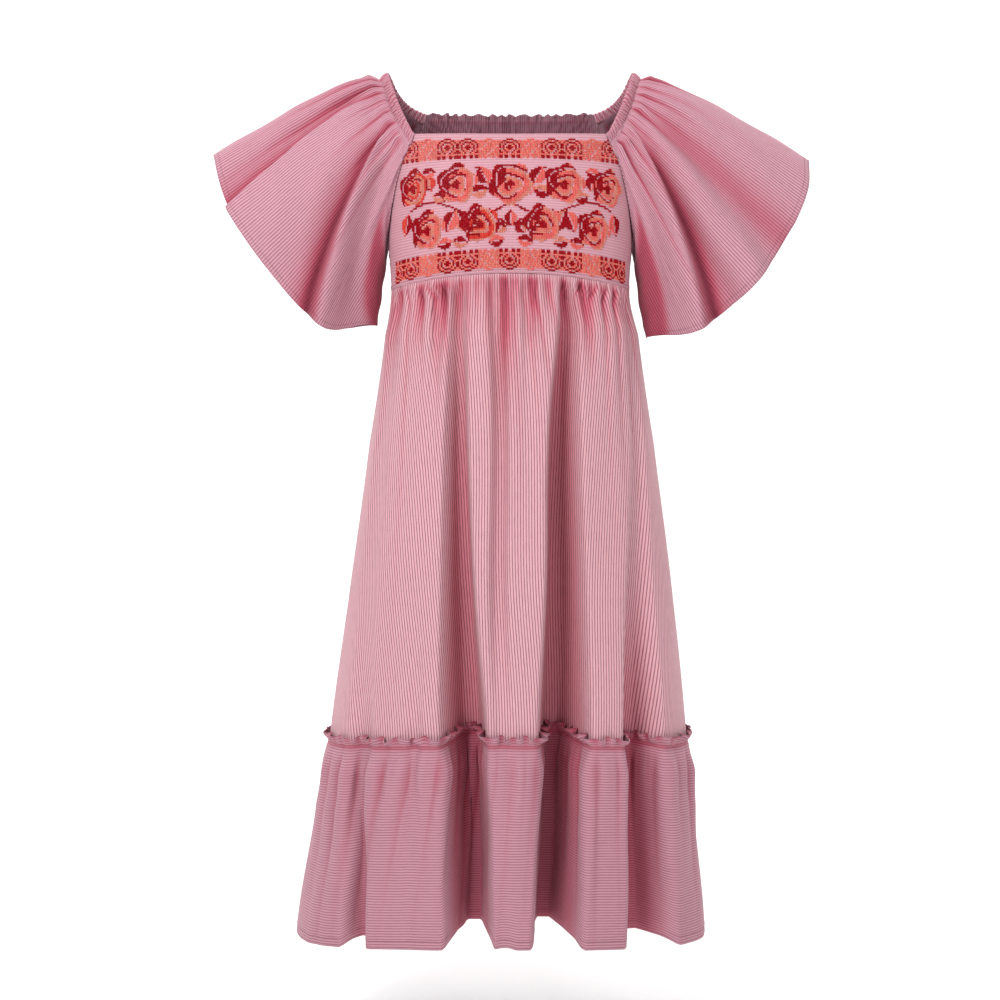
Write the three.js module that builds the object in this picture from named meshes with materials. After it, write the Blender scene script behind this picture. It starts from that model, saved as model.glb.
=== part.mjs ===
// A worn, hollow midi dress in millimetres, +Z up and the front towards -Y: a square-necked yoke in front, a shirred
// back, raglan flutter sleeves gathered on elastic neck casings, an empire skirt gathered under the yoke, and a gathered
// hem ruffle whose heading stands up over the seam. The origin lies midway between the shoulders.
import * as THREE from "three";
import { mergeVertices } from "three/addons/utils/BufferGeometryUtils.js";

// Driving sizes
const CLOTH = 1.6; // wall of every panel
const SEAM = 0.3; // gap between two panels that are sewn together
const SEAM_IN_PLAN = 0.5; // the same gap where a seam runs at a slant, taken level
const SKIRT_LENGTH = 617; // empire seam to ruffle seam, at the centre front
const RUFFLE_LENGTH = 260; // ruffle seam to hem
const HEM_FALL = SKIRT_LENGTH + RUFFLE_LENGTH;
const HEADING = 12; // frill above the ruffle seam
const HEADING_FLARE = 4; // lean of that frill away from the skirt
const CASING_WIDTH = 15; // elastic neck casing
const CASING_THICK = 3.4;
const UNDERARM_Z = -240;
const NECK_CORNER_Z = { front: -93, back: -47 };
const SLEEVE_TOP_Z = { front: -107.6, back: -61.8 }; // where the casing's lower edge reaches the raglan seam

// How finely the solids are cut
const BODY_COLUMNS = { front: 96, back: 72 };
const SKIRT_GATHERS = { front: 24, back: 24 };
const RUFFLE_GATHERS = { front: 32, back: 24 };
const YOKE_COLUMNS = 20;
const BACK_RIBS = 22;
const RAGLAN_COLUMNS = 5; // columns of a sleeve along each raglan seam, one for each row of the bodice there
const NECK_COLUMNS = 48; // columns of a sleeve along its casing, one for each station of the casing
const SLEEVE_GATHERS = 16;
const RING_STEPS = 480; // steps of a ring before its columns are spaced evenly
const BODICE_STEPS = 120;
const SLEEVE_COLUMNS = NECK_COLUMNS + 2 * RAGLAN_COLUMNS;
const RAGLAN_SHARE = RAGLAN_COLUMNS / SLEEVE_COLUMNS;

const COLOURS = { cloth: 0xd8a0b0, yoke: 0xdf9aa0, casing: 0xd096a6 };

// Plain maths
const mix = (a, b, t) => a + (b - a) * t;
const clamp = (x, low, high) => Math.min(high, Math.max(low, x));
const smooth = (low, high, x) => {
  const t = clamp((x - low) / (high - low), 0, 1);
  return t * t * (3 - 2 * t);
};
const signedPower = (x, p) => Math.sign(x) * Math.abs(x) ** p;
// A repeatable number from 0 to 1 that differs from one gather to the next
const vary = (i, salt) => {
  const x = Math.sin(i * 12.9898 + salt * 78.233) * 43758.5453;
  return x - Math.floor(x);
};

// The value of one column of a table at a place, on a smooth curve through its rows
function column(table, key, place, at) {
  let i = 0;
  while (i < table.length - 2 && at > table[i + 1][key]) i += 1;
  const row = (k) => table[clamp(k, 0, table.length - 1)];
  const t = clamp((at - row(i)[key]) / (row(i + 1)[key] - row(i)[key]), 0, 1);
  const [a, b, c, d] = [row(i - 1), row(i), row(i + 1), row(i + 2)].map((r) => r[place]);
  return b + 0.5 * t * (c - a + t * (2 * a - 5 * b + 4 * c - d + t * (3 * (b - c) + d - a)));
}

// The rings of the bodice by height: half width, and depths to the front and back
const TORSO = [
  { z: -300, half: 163, front: 105, back: 96 },
  { z: -280, half: 163, front: 106, back: 97 },
  { z: -240, half: 166, front: 114, back: 101 },
  { z: -200, half: 166, front: 116, back: 104 },
  { z: -150, half: 165, front: 104, back: 103 },
  { z: -96, half: 163, front: 88, back: 98 },
  { z: -40, half: 160, front: 74, back: 91 },
];
const TORSO_POWER = 2.5;

// The rings of the skirt and ruffle by the distance below the empire seam
const SKIRT = [
  { fall: 0, centre: 0, half: 163, front: 105, back: 96, power: 2.5 },
  { fall: 60, centre: 2, half: 175, front: 117, back: 109, power: 2.45 },
  { fall: 209, centre: 2, half: 196, front: 133, back: 128, power: 2.35 },
  { fall: 424, centre: 1, half: 224, front: 151, back: 148, power: 2.25 },
  { fall: 617, centre: -3, half: 247, front: 168, back: 165, power: 2.2 },
  { fall: 700, centre: -7, half: 259, front: 176, back: 173, power: 2.15 },
  { fall: 877, centre: -13, half: 282, front: 192, back: 188, power: 2.1 },
];

// Heights of the seams and the hem at the middle of each side, and how far they drop towards the side seams
const HEIGHTS = {
  front: { empire: { z: -280, drop: 18 }, ruffle: { z: -897, drop: 17 }, hem: { z: -1157, drop: 24 } },
  back: { empire: { z: -292, drop: 6 }, ruffle: { z: -909, drop: 5 }, hem: { z: -1171, drop: 10 } },
};
const VALLEY_LIFT = 0.1; // rise of the hem for each mm that a valley lies inward

// Valleys between the folds: place across the half width, half width and depth at each of these falls
const FOLD_FALLS = [0, 205, 410, 617, 740, 877];
const VALLEYS = {
  front: [
    {
      across: [-0.93, -0.9, -0.86, -0.79, -0.74, -0.69],
      half: [16, 20, 24, 25, 22, 24],
      deep: [8, 6, 3, 10, 22, 30],
    },
    {
      across: [-0.57, -0.56, -0.55, -0.5, -0.46, -0.44],
      half: [11, 13, 14, 14, 14, 14],
      deep: [9, 2, 0, 5, 2, 0],
    },
    {
      across: [-0.424, -0.377, -0.318, -0.235, -0.18, -0.15],
      half: [13, 19, 26, 36, 36, 36],
      deep: [11, 34, 58, 82, 88, 92],
    },
    {
      across: [-0.128, -0.08, -0.077, -0.03, 0, 0.02],
      half: [12, 14, 15, 16, 16, 16],
      deep: [10, 16, 14, 3, 0, 3],
    },
    {
      across: [0.119, 0.12, 0.12, 0.12, 0.12, 0.12],
      half: [11, 13, 14, 14, 14, 14],
      deep: [9, 2, 0, 0, 0, 0],
    },
    {
      across: [0.457, 0.356, 0.324, 0.3, 0.285, 0.26],
      half: [15, 25, 31, 40, 38, 37],
      deep: [16, 55, 74, 92, 98, 102],
    },
    {
      across: [0.94, 0.86, 0.77, 0.735, 0.735, 0.72],
      half: [14, 17, 28, 38, 42, 48],
      deep: [6, 6, 18, 46, 55, 58],
    },
  ],
  back: [
    {
      across: [-0.82, -0.76, -0.72, -0.68, -0.67, -0.66],
      half: [14, 22, 28, 34, 36, 38],
      deep: [8, 20, 34, 50, 56, 60],
    },
    {
      across: [-0.46, -0.4, -0.37, -0.34, -0.33, -0.31],
      half: [13, 20, 28, 36, 37, 38],
      deep: [10, 34, 52, 74, 80, 84],
    },
    {
      across: [-0.12, -0.09, -0.05, -0.02, 0, 0.01],
      half: [12, 15, 18, 22, 24, 26],
      deep: [9, 14, 16, 24, 30, 34],
    },
    {
      across: [0.27, 0.25, 0.27, 0.28, 0.3, 0.3],
      half: [13, 21, 28, 37, 38, 38],
      deep: [11, 38, 60, 84, 90, 94],
    },
    {
      across: [0.72, 0.69, 0.66, 0.63, 0.62, 0.62],
      half: [14, 18, 26, 33, 36, 40],
      deep: [7, 12, 26, 44, 50, 56],
    },
  ],
};
const VALLEY_FLOOR = 0.22; // share of a valley's half width that is flat
const VALLEY_START = 30; // the valleys begin over this distance below the empire seam
const SIDE_CALM = 26; // no fold reaches this close to a side seam

// Crest-to-trough height of the gathers, by the distance below the seam they hang from
const SKIRT_GATHER = [
  { fall: 0, high: 1.4 },
  { fall: 12, high: 8.4 },
  { fall: 50, high: 8 },
  { fall: 120, high: 3.6 },
  { fall: 250, high: 0.6 },
  { fall: 400, high: 0 },
  { fall: 617, high: 0 },
];
const RUFFLE_GATHER = [
  { fall: -12, high: 5 },
  { fall: -5, high: 2 },
  { fall: 0, high: 0.6 },
  { fall: 20, high: 8 },
  { fall: 90, high: 4.5 },
  { fall: 260, high: 1.2 },
];
const GATHER_CALM = 3; // columns over which the gathers fade beside a side seam

// A point of a ring, from -1 at the start of a side of the dress to 1 at its end, always going round the same way
function ringPoint(level, side, share) {
  const angle = (share * Math.PI) / 2;
  const across = signedPower(Math.sin(angle), 2 / level.power) * (side === "front" ? 1 : -1);
  const out = Math.abs(Math.cos(angle)) ** (2 / level.power);
  const y = side === "front" ? -level.front * out : level.back * out;
  return { x: level.centre + level.half * across, y, across };
}

// Where a place across the half width lies on a ring, from 0 at the middle to 1 at the side
const shareAcross = (power, across) => (Math.asin(clamp(signedPower(across, power / 2), -1, 1)) * 2) / Math.PI;

// Distances along a row of points, seen from above
function lengthsAlong(points) {
  const along = [0];
  for (let i = 1; i < points.length; i += 1) {
    const step = Math.hypot(points[i].x - points[i - 1].x, points[i].y - points[i - 1].y);
    along.push(along[i - 1] + step);
  }
  return along;
}

// The same row with evenly spaced columns
function evenly(points, count) {
  const along = lengthsAlong(points);
  const total = along[along.length - 1];
  const made = [];
  let j = 0;
  for (let i = 0; i <= count; i += 1) {
    const want = (total * i) / count;
    while (j < along.length - 2 && along[j + 1] < want) j += 1;
    const t = (want - along[j]) / (along[j + 1] - along[j]);
    const point = {};
    for (const key of Object.keys(points[j])) point[key] = mix(points[j][key], points[j + 1][key], t);
    made.push(point);
  }
  return made;
}

// A row with the outward normal of each point, seen from above
function withNormals(row) {
  return row.map((p, i) => {
    const a = row[Math.max(i - 1, 0)];
    const b = row[Math.min(i + 1, row.length - 1)];
    const length = Math.hypot(b.x - a.x, b.y - a.y);
    return { ...p, outX: (b.y - a.y) / length, outY: -(b.x - a.x) / length };
  });
}

// A row moved out along its own normals by a distance for each column
const movedOut = (row, distance) =>
  row.map((p, i) => new THREE.Vector3(p.x + p.outX * distance(i), p.y + p.outY * distance(i), p.z));

// The two ends of a row on the side seams stop just short of the other side of the dress, and meet it flat
function endAtSideSeams(row, side) {
  const y = side === "front" ? -SEAM / 2 : SEAM / 2;
  for (const end of [row[0], row[row.length - 1]]) Object.assign(end, { y, outX: Math.sign(end.x), outY: 0 });
}

// The faces of a closed solid between an outer and an inner grid. A ring joins its last column to its first
function wall(name, outer, inner, colour, ring = false) {
  const rows = outer.length;
  const columns = outer[0].length;
  const at = (layer, r, c) => layer * rows * columns + r * columns + (c % columns);
  const faces = [];
  const quad = (a, b, c, d) => faces.push(a, b, c, a, c, d);
  const cells = ring ? columns : columns - 1;
  const bottom = rows - 1;
  for (let c = 0; c < cells; c += 1) {
    for (let r = 0; r < bottom; r += 1) {
      quad(at(0, r, c), at(0, r + 1, c), at(0, r + 1, c + 1), at(0, r, c + 1));
      quad(at(1, r, c), at(1, r, c + 1), at(1, r + 1, c + 1), at(1, r + 1, c));
    }
    quad(at(0, 0, c), at(0, 0, c + 1), at(1, 0, c + 1), at(1, 0, c));
    quad(at(0, bottom, c), at(1, bottom, c), at(1, bottom, c + 1), at(0, bottom, c + 1));
  }
  const end = columns - 1;
  for (let r = 0; r < bottom && !ring; r += 1) {
    quad(at(0, r, 0), at(1, r, 0), at(1, r + 1, 0), at(0, r + 1, 0));
    quad(at(0, r, end), at(0, r + 1, end), at(1, r + 1, end), at(1, r, end));
  }
  return solid(name, [...outer.flat(), ...inner.flat()], faces, colour);
}

// A named mesh from points and the triangles between them
function solid(name, points, faces, colour) {
  const raw = new THREE.BufferGeometry().setFromPoints(points).setIndex(faces);
  const geometry = mergeVertices(raw, 1e-4).toNonIndexed();
  geometry.computeVertexNormals();
  const material = new THREE.MeshStandardMaterial({ color: colour, roughness: 0.85, metalness: 0 });
  const mesh = new THREE.Mesh(geometry, material);
  mesh.name = name;
  return mesh;
}

// The skirt's ring at a distance below the empire seam
function skirtLevel(fall) {
  const level = {};
  for (const key of ["centre", "half", "front", "back", "power"]) level[key] = column(SKIRT, "fall", key, fall);
  return level;
}

function torsoLevel(z) {
  const level = { centre: 0, power: TORSO_POWER };
  for (const key of ["half", "front", "back"]) level[key] = column(TORSO, "z", key, z);
  return level;
}

// The height of the skirt's cloth, which drops towards the side seams
function heightAt(side, fall, across) {
  const rows = HEIGHTS[side];
  const at = (row) => row.z - row.drop * across * across;
  if (fall <= SKIRT_LENGTH) return mix(at(rows.empire), at(rows.ruffle), fall / SKIRT_LENGTH);
  return mix(at(rows.ruffle), at(rows.hem), (fall - SKIRT_LENGTH) / RUFFLE_LENGTH);
}

const valleyValue = (valley, key, fall) => {
  const table = FOLD_FALLS.map((f, i) => ({ fall: f, value: valley[key][i] }));
  return column(table, "fall", "value", fall);
};

// One row of the skirt or ruffle with its folds, its columns evenly spaced along the cloth
function bodyRow(side, fall) {
  const level = skirtLevel(fall);
  let ring = [];
  for (let k = 0; k <= RING_STEPS; k += 1) ring.push(ringPoint(level, side, (2 * k) / RING_STEPS - 1));
  ring = withNormals(ring);
  const along = lengthsAlong(ring);
  const length = along[RING_STEPS];
  const folded = ring.map((p) => ({ ...p, inward: 0 }));
  const facing = side === "front" ? 1 : -1;
  for (const valley of VALLEYS[side]) {
    const share = shareAcross(level.power, valleyValue(valley, "across", fall) * facing);
    const middle = Math.round(((share + 1) / 2) * RING_STEPS);
    const half = valleyValue(valley, "half", fall);
    const deep = Math.max(0, valleyValue(valley, "deep", fall)) * smooth(0, VALLEY_START, fall);
    folded.forEach((p, k) => {
      const calm = smooth(0, SIDE_CALM, Math.min(along[k], length - along[k]));
      const reach = Math.abs(along[k] - along[middle]) / half;
      const depth = deep * calm * (1 - smooth(VALLEY_FLOOR, 1, reach));
      p.x -= ring[middle].outX * depth;
      p.y -= ring[middle].outY * depth;
      p.inward += depth;
    });
  }
  const row = withNormals(evenly(folded, BODY_COLUMNS[side]));
  const lift = VALLEY_LIFT * smooth(0, HEM_FALL, fall);
  for (const p of row) p.z = heightAt(side, fall, p.across) + lift * p.inward;
  endAtSideSeams(row, side);
  return row;
}

// One gather's wave at a column, from -0.5 in a trough to 0.5 on a crest, uneven in size and calm at the side seams
function gatherWave(i, columns, gathers, salt) {
  const place = (i / columns) * gathers;
  const size = 0.6 + 0.75 * vary(Math.floor(place), salt);
  const calm = smooth(0, GATHER_CALM, Math.min(i, columns - i));
  return -0.5 * Math.cos(2 * Math.PI * place) * size * calm;
}

// Half of the skirt, from side seam to side seam
function skirtPanel(side, salt) {
  const falls = [SEAM, 12, 50, 120, 250, 400, SKIRT_LENGTH - HEADING, SKIRT_LENGTH];
  const layer = (inward) =>
    falls.map((fall) => {
      const high = column(SKIRT_GATHER, "fall", "high", fall);
      const wave = (i) => high * gatherWave(i, BODY_COLUMNS[side], SKIRT_GATHERS[side], salt);
      return movedOut(bodyRow(side, fall), (i) => wave(i) - inward);
    });
  return wall("skirt_" + side, layer(0), layer(CLOTH), COLOURS.cloth);
}

// Half of the hem ruffle: its heading lies over the skirt's edge and leans out above the seam
function rufflePanel(side, salt) {
  const drops = [-HEADING, -5, 0, 20, 90, RUFFLE_LENGTH];
  const layer = (outward) =>
    drops.map((drop) => {
      const high = column(RUFFLE_GATHER, "fall", "high", drop);
      const lean = SEAM + HEADING_FLARE * smooth(0, HEADING, -drop);
      const wave = (i) => high * (0.7 + gatherWave(i, BODY_COLUMNS[side], RUFFLE_GATHERS[side], salt));
      return movedOut(bodyRow(side, SKIRT_LENGTH + drop), (i) => lean + wave(i) + outward);
    });
  return wall("ruffle_" + side, layer(CLOTH), layer(0), COLOURS.cloth);
}

// The raglan seams: how far across the half width they run at each height
const RAGLAN = {
  front: [
    { z: -240, across: 1 },
    { z: -210, across: 0.972 },
    { z: -180, across: 0.945 },
    { z: -135, across: 0.89 },
    { z: -93, across: 0.79 },
  ],
  back: [
    { z: -240, across: 1 },
    { z: -205, across: 0.965 },
    { z: -170, across: 0.93 },
    { z: -110, across: 0.84 },
    { z: -40, across: 0.725 },
  ],
};
const raglanAcross = (side, z) => (z <= UNDERARM_Z ? 1 : column(RAGLAN[side], "z", "across", z));

// A point on the sleeve's side of a raglan seam at +X, with its outward normal and the way the seam runs down
function raglanPoint(side, z) {
  const level = torsoLevel(z);
  const share = shareAcross(level.power, raglanAcross(side, z)) * (side === "front" ? 1 : -1);
  const p = ringPoint(level, side, share);
  const q = ringPoint(level, side, share * 0.98);
  const away = new THREE.Vector3(p.x - q.x, p.y - q.y, 0).normalize();
  const facing = side === "front" ? 1 : -1;
  const normal = new THREE.Vector3(away.y * facing, -away.x * facing, 0);
  return { at: new THREE.Vector3(p.x, p.y, z).addScaledVector(away, SEAM_IN_PLAN), away, normal };
}

// Heights at which a bodice panel's rows end, from the neck corner down the raglan seam and the side seam
function rowEnds(side, belowUnderarm) {
  const raglan = Array.from({ length: RAGLAN_COLUMNS + 1 }, (_, k) =>
    mix(SLEEVE_TOP_Z[side], UNDERARM_Z, k / RAGLAN_COLUMNS),
  );
  return [NECK_CORNER_Z[side], ...raglan, ...belowUnderarm];
}

// How far each row's middle lies above its ends
const ROW_DROP = {
  front: [
    { z: -298, drop: 18 },
    { z: -240, drop: 13 },
    { z: -150, drop: 7 },
    { z: -93, drop: -3 },
  ],
  back: [
    { z: -298, drop: 6 },
    { z: -170, drop: 3 },
    { z: -47, drop: 0 },
  ],
};

function bodiceRow(side, endZ, columns) {
  const drop = column(ROW_DROP[side], "z", "drop", endZ);
  const reach = raglanAcross(side, endZ);
  const ring = [];
  for (let k = 0; k <= BODICE_STEPS; k += 1) {
    const share = shareAcross(TORSO_POWER, reach) * ((2 * k) / BODICE_STEPS - 1);
    const { across } = ringPoint(torsoLevel(endZ), side, share);
    const z = endZ + drop * (1 - (across / reach) ** 2);
    const { x, y } = ringPoint(torsoLevel(z), side, share);
    ring.push({ x, y, z });
  }
  const row = evenly(withNormals(ring), columns);
  if (endZ <= UNDERARM_Z) endAtSideSeams(row, side);
  return row;
}

// The embroidered yoke: smooth cloth from the neck edge to the empire seam
function yokeFront() {
  const rows = rowEnds("front", [-270, -298]).map((z) => bodiceRow("front", z, YOKE_COLUMNS));
  const layer = (inward) => rows.map((row) => movedOut(row, () => -inward));
  return wall("yoke_front", layer(0), layer(CLOTH), COLOURS.yoke);
}

// The shirred back: ribs in its outer points over a plain inside, and a wavy frill on its top edge
function shirredBack() {
  const columns = BACK_RIBS * 2;
  const rows = rowEnds("back", [-298]).map((z) => bodiceRow("back", z, columns));
  const calm = (i) => smooth(0, 4, Math.min(i, columns - i));
  for (let i = 1; i < columns; i += 1) rows[0][i].z += 3 * vary(i, 8) * calm(i);
  const rib = (i, r) => (i % 2) * (r === 0 ? 2.6 : 1.5) * (0.7 + 0.6 * vary(i, 3)) * calm(i);
  const outer = rows.map((row, r) => movedOut(row, (i) => rib(i, r)));
  const inner = rows.map((row) => movedOut(row, () => -CLOTH));
  return wall("bodice_back", outer, inner, COLOURS.cloth);
}

// The neck edge over the shoulder at +X, from the yoke's corner to the back's corner
const CORNER = { front: raglanPoint("front", NECK_CORNER_Z.front), back: raglanPoint("back", NECK_CORNER_Z.back) };
const NECK_EDGE = new THREE.CatmullRomCurve3([
  CORNER.front.at,
  new THREE.Vector3(151, -36, -46),
  new THREE.Vector3(165, -8, -5),
  new THREE.Vector3(164, 18, -3),
  new THREE.Vector3(153, 46, -24),
  new THREE.Vector3(138, 62, -38),
  CORNER.back.at,
]);
const SHOULDER_MIDDLE = new THREE.Vector3(60, 5, -120); // the shoulder is round about this point
const CORNER_TURN = 0.16; // share of the neck edge over which the casing turns into line with a raglan seam

// The casing's frame at a share of the neck edge: its point, the way down the sleeve and the way out
function casingFrame(share) {
  const at = NECK_EDGE.getPointAt(share);
  const along = NECK_EDGE.getTangentAt(share);
  const out = at.clone().sub(SHOULDER_MIDDLE).normalize();
  const down = along.clone().cross(out).normalize();
  const seamWay = (side) => raglanPoint(side, SLEEVE_TOP_Z[side]).at.sub(CORNER[side].at).normalize();
  down.lerp(seamWay("front"), 1 - smooth(0, CORNER_TURN, share));
  down.lerp(seamWay("back"), smooth(1 - CORNER_TURN, 1, share)).normalize();
  return { at, down, outward: down.clone().cross(along).normalize() };
}

// An elastic casing: a flat tube puckered into ribs, one for every two stations
function neckCasing(name, mirror) {
  const section = [
    { down: 0, out: -0.3 },
    { down: 0, out: 0.3 },
    { down: CASING_WIDTH / 2, out: 0.5 },
    { down: CASING_WIDTH, out: 0.25 },
    { down: CASING_WIDTH, out: -0.25 },
    { down: CASING_WIDTH / 2, out: -0.5 },
  ];
  const sides = section.length;
  const points = [];
  for (let k = 0; k <= NECK_COLUMNS; k += 1) {
    const { at, down, outward } = casingFrame(k / NECK_COLUMNS);
    const thick = CASING_THICK * (k % 2 ? 1.2 : 0.7);
    for (const s of section) {
      const p = at.clone().addScaledVector(down, s.down).addScaledVector(outward, s.out * thick);
      points.push(mirror ? new THREE.Vector3(-p.x, p.y, p.z) : p);
    }
  }
  const faces = [];
  const face = (a, b, c) => faces.push(...(mirror ? [a, b, c] : [a, c, b]));
  for (let k = 0; k < NECK_COLUMNS; k += 1) {
    for (let j = 0; j < sides; j += 1) {
      const [a, b] = [k * sides + j, k * sides + ((j + 1) % sides)];
      face(a, a + sides, b + sides);
      face(a, b + sides, b);
    }
  }
  const last = NECK_COLUMNS * sides;
  for (let j = 1; j < sides - 1; j += 1) {
    face(0, j, j + 1);
    face(last, last + j + 1, last + j);
  }
  return solid(name, points, faces, COLOURS.casing);
}

// The sleeves as at +X: the hem's underarm end and outer tip, how far its edge bows out between them, and how high the
// top arches. Pleats climb sharply at their line and fall slowly towards the body, and rolls are round on both sides.
// Both are placed round the ring from the underarm forwards, at the neck and at the hem
const SLEEVES = {
  right: {
    inner: new THREE.Vector3(185, 0, -362),
    tip: new THREE.Vector3(407, 6, -122),
    bow: [
      { along: 0, out: 0 },
      { along: 0.125, out: 32 },
      { along: 0.25, out: 51 },
      { along: 0.5, out: 55 },
      { along: 0.75, out: 41 },
      { along: 0.875, out: 25 },
      { along: 1, out: 0 },
    ],
    arch: 14,
    pleats: [{ line: { neck: 0.235, hem: 0.12 }, crest: { neck: 14, hem: 34 }, run: 0.11 }],
    rolls: [
      { at: { neck: 0.27, hem: 0.225 }, half: 0.065, high: { neck: 8, hem: 15 } },
      { at: { neck: 0.42, hem: 0.43 }, half: 0.09, high: { neck: 8, hem: 10 } },
      { at: { neck: 0.62, hem: 0.62 }, half: 0.055, high: { neck: 12, hem: 20 } },
      { at: { neck: 0.76, hem: 0.76 }, half: 0.05, high: { neck: 10, hem: 26 } },
      { at: { neck: 0.87, hem: 0.87 }, half: 0.04, high: { neck: 8, hem: 24 } },
    ],
  },
  left: {
    inner: new THREE.Vector3(183, 0, -345),
    tip: new THREE.Vector3(404, 6, -116),
    bow: [
      { along: 0, out: 0 },
      { along: 0.125, out: 44 },
      { along: 0.25, out: 56 },
      { along: 0.5, out: 50 },
      { along: 0.75, out: 37 },
      { along: 0.875, out: 21 },
      { along: 1, out: 0 },
    ],
    arch: 11,
    pleats: [
      { line: { neck: 0.245, hem: 0.115 }, crest: { neck: 16, hem: 34 }, run: 0.1 },
      { line: { neck: 0.42, hem: 0.4 }, crest: { neck: 12, hem: 16 }, run: 0.24 },
    ],
    rolls: [
      { at: { neck: 0.49, hem: 0.49 }, half: 0.05, high: { neck: 6, hem: 7 } },
      { at: { neck: 0.6, hem: 0.6 }, half: 0.05, high: { neck: 10, hem: 18 } },
      { at: { neck: 0.73, hem: 0.73 }, half: 0.055, high: { neck: 12, hem: 28 } },
      { at: { neck: 0.87, hem: 0.87 }, half: 0.04, high: { neck: 8, hem: 22 } },
    ],
  },
};
const UNDERARM_STAND = 2.4; // how far the sleeve's edge comes to stand outside the bodice towards the underarm
const HEM_DEPTH = { front: 64, back: 60 }; // how far a sleeve's hem stands out to the front and the back
const FLANK = 12; // further swell of the cloth halfway down
const PLEAT_CLIMB = 0.02; // the share of the ring over which a pleat climbs

// The gathers under a casing, by the share of the sleeve's length
const SLEEVE_GATHER = [
  { s: 0, high: 0.8 },
  { s: 0.06, high: 6 },
  { s: 0.16, high: 5.5 },
  { s: 0.34, high: 2.2 },
  { s: 0.6, high: 0 },
  { s: 1, high: 0 },
];

// A sleeve's upper edge, once round from the underarm: up the front raglan seam, along the casing and down the back
function armhole(t) {
  const side = t < 0.5 ? "front" : "back";
  const share = Math.min(t, 1 - t) / RAGLAN_SHARE;
  if (share > 1) {
    const { at, down, outward } = casingFrame((t - RAGLAN_SHARE) / (1 - 2 * RAGLAN_SHARE));
    return { at: at.addScaledVector(down, CASING_WIDTH + 2 * SEAM), normal: outward };
  }
  const under = new THREE.Vector3(torsoLevel(UNDERARM_Z).half + SEAM + CLOTH, 0, UNDERARM_Z);
  const z = mix(UNDERARM_Z, SLEEVE_TOP_Z[side], share);
  const seam = raglanPoint(side, z);
  const seamWay = raglanPoint(side, z + 1).at.sub(seam.at).normalize();
  seam.at.addScaledVector(seam.normal, UNDERARM_STAND * (1 - share) ** 2);
  const atUnderarm = 1 - smooth(0, 1 / RAGLAN_COLUMNS, share);
  return {
    at: seam.at.lerp(under, atUnderarm),
    normal: seam.normal.lerp(new THREE.Vector3(1, 0, 0), atUnderarm).normalize(),
    away: seam.away.addScaledVector(seamWay, -seam.away.dot(seamWay)).normalize(),
  };
}

// A sleeve's hem, once round from the underarm by way of the front
function sleeveHem(sleeve, t) {
  const along = 1 - Math.abs(1 - 2 * t);
  const chord = sleeve.tip.clone().sub(sleeve.inner);
  const outOfChord = new THREE.Vector3(chord.z, 0, -chord.x).normalize();
  outOfChord.multiplyScalar(column(sleeve.bow, "along", "out", along));
  const p = sleeve.inner.clone().lerp(sleeve.tip, along).add(outOfChord);
  p.y += (t < 0.5 ? -HEM_DEPTH.front : HEM_DEPTH.back) * Math.sin(Math.PI * along) ** 0.6;
  return p;
}

// A sleeve's cloth before its folds: s runs from the armhole to the hem
function sleeveBase(sleeve, s, t) {
  const edge = armhole(t);
  const p = edge.at.clone().lerp(sleeveHem(sleeve, t), s);
  p.z += sleeve.arch * Math.sin(Math.PI * t) ** 4 * Math.sin(Math.PI * s ** 0.7);
  const flank = Math.sin(2 * Math.PI * Math.min(t, 1 - t)) ** 2;
  p.y += (t < 0.5 ? -1 : 1) * FLANK * flank * Math.sin(Math.PI * s);
  // Beside a raglan seam the cloth leaves the bodice outwards before it hangs over it
  if (edge.away) {
    const over = p.clone().sub(edge.at).dot(edge.away);
    const hold = 1 - smooth(0.06, 0.2, s);
    p.addScaledVector(edge.away, Math.max(0, -over) * hold);
  }
  return p;
}

// A point kept at least this far outside the body of the dress
function keptClear(p, margin) {
  const empire = HEIGHTS.front.empire.z - HEIGHTS.front.empire.drop;
  const level = p.z > empire ? torsoLevel(p.z) : skirtLevel(empire - p.z);
  const depth = p.y < 0 ? level.front : level.back;
  const [u, v] = [(p.x - level.centre) / level.half, p.y / depth];
  const reach = (Math.abs(u) ** level.power + Math.abs(v) ** level.power) ** (1 / level.power);
  const slope = new THREE.Vector3(
    signedPower(u / reach, level.power - 1) / level.half,
    signedPower(v / reach, level.power - 1) / depth,
    0,
  );
  const distance = (reach - 1) / slope.length();
  if (distance < margin) p.addScaledVector(slope.normalize(), margin - distance);
  return p;
}

// How far the pleats and rolls stand out from a sleeve's base
function sleeveRelief(sleeve, s, t) {
  const between = (value) => mix(value.neck, value.hem, s);
  const pleats = sleeve.pleats.reduce((sum, { line, crest, run }) => {
    const towardsBody = between(line) - t;
    const fall = 1 - smooth(PLEAT_CLIMB, run, towardsBody);
    return sum + between(crest) * smooth(0, PLEAT_CLIMB, towardsBody) * fall;
  }, 0);
  const rolls = sleeve.rolls.reduce((sum, { at, half, high }) => {
    const reach = Math.abs(t - between(at)) / half;
    return sum + between(high) * (1 - smooth(0.2, 1, reach));
  }, 0);
  return (pleats * smooth(0, 0.04, t) + rolls) * smooth(0.02, 0.3, s);
}

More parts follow.
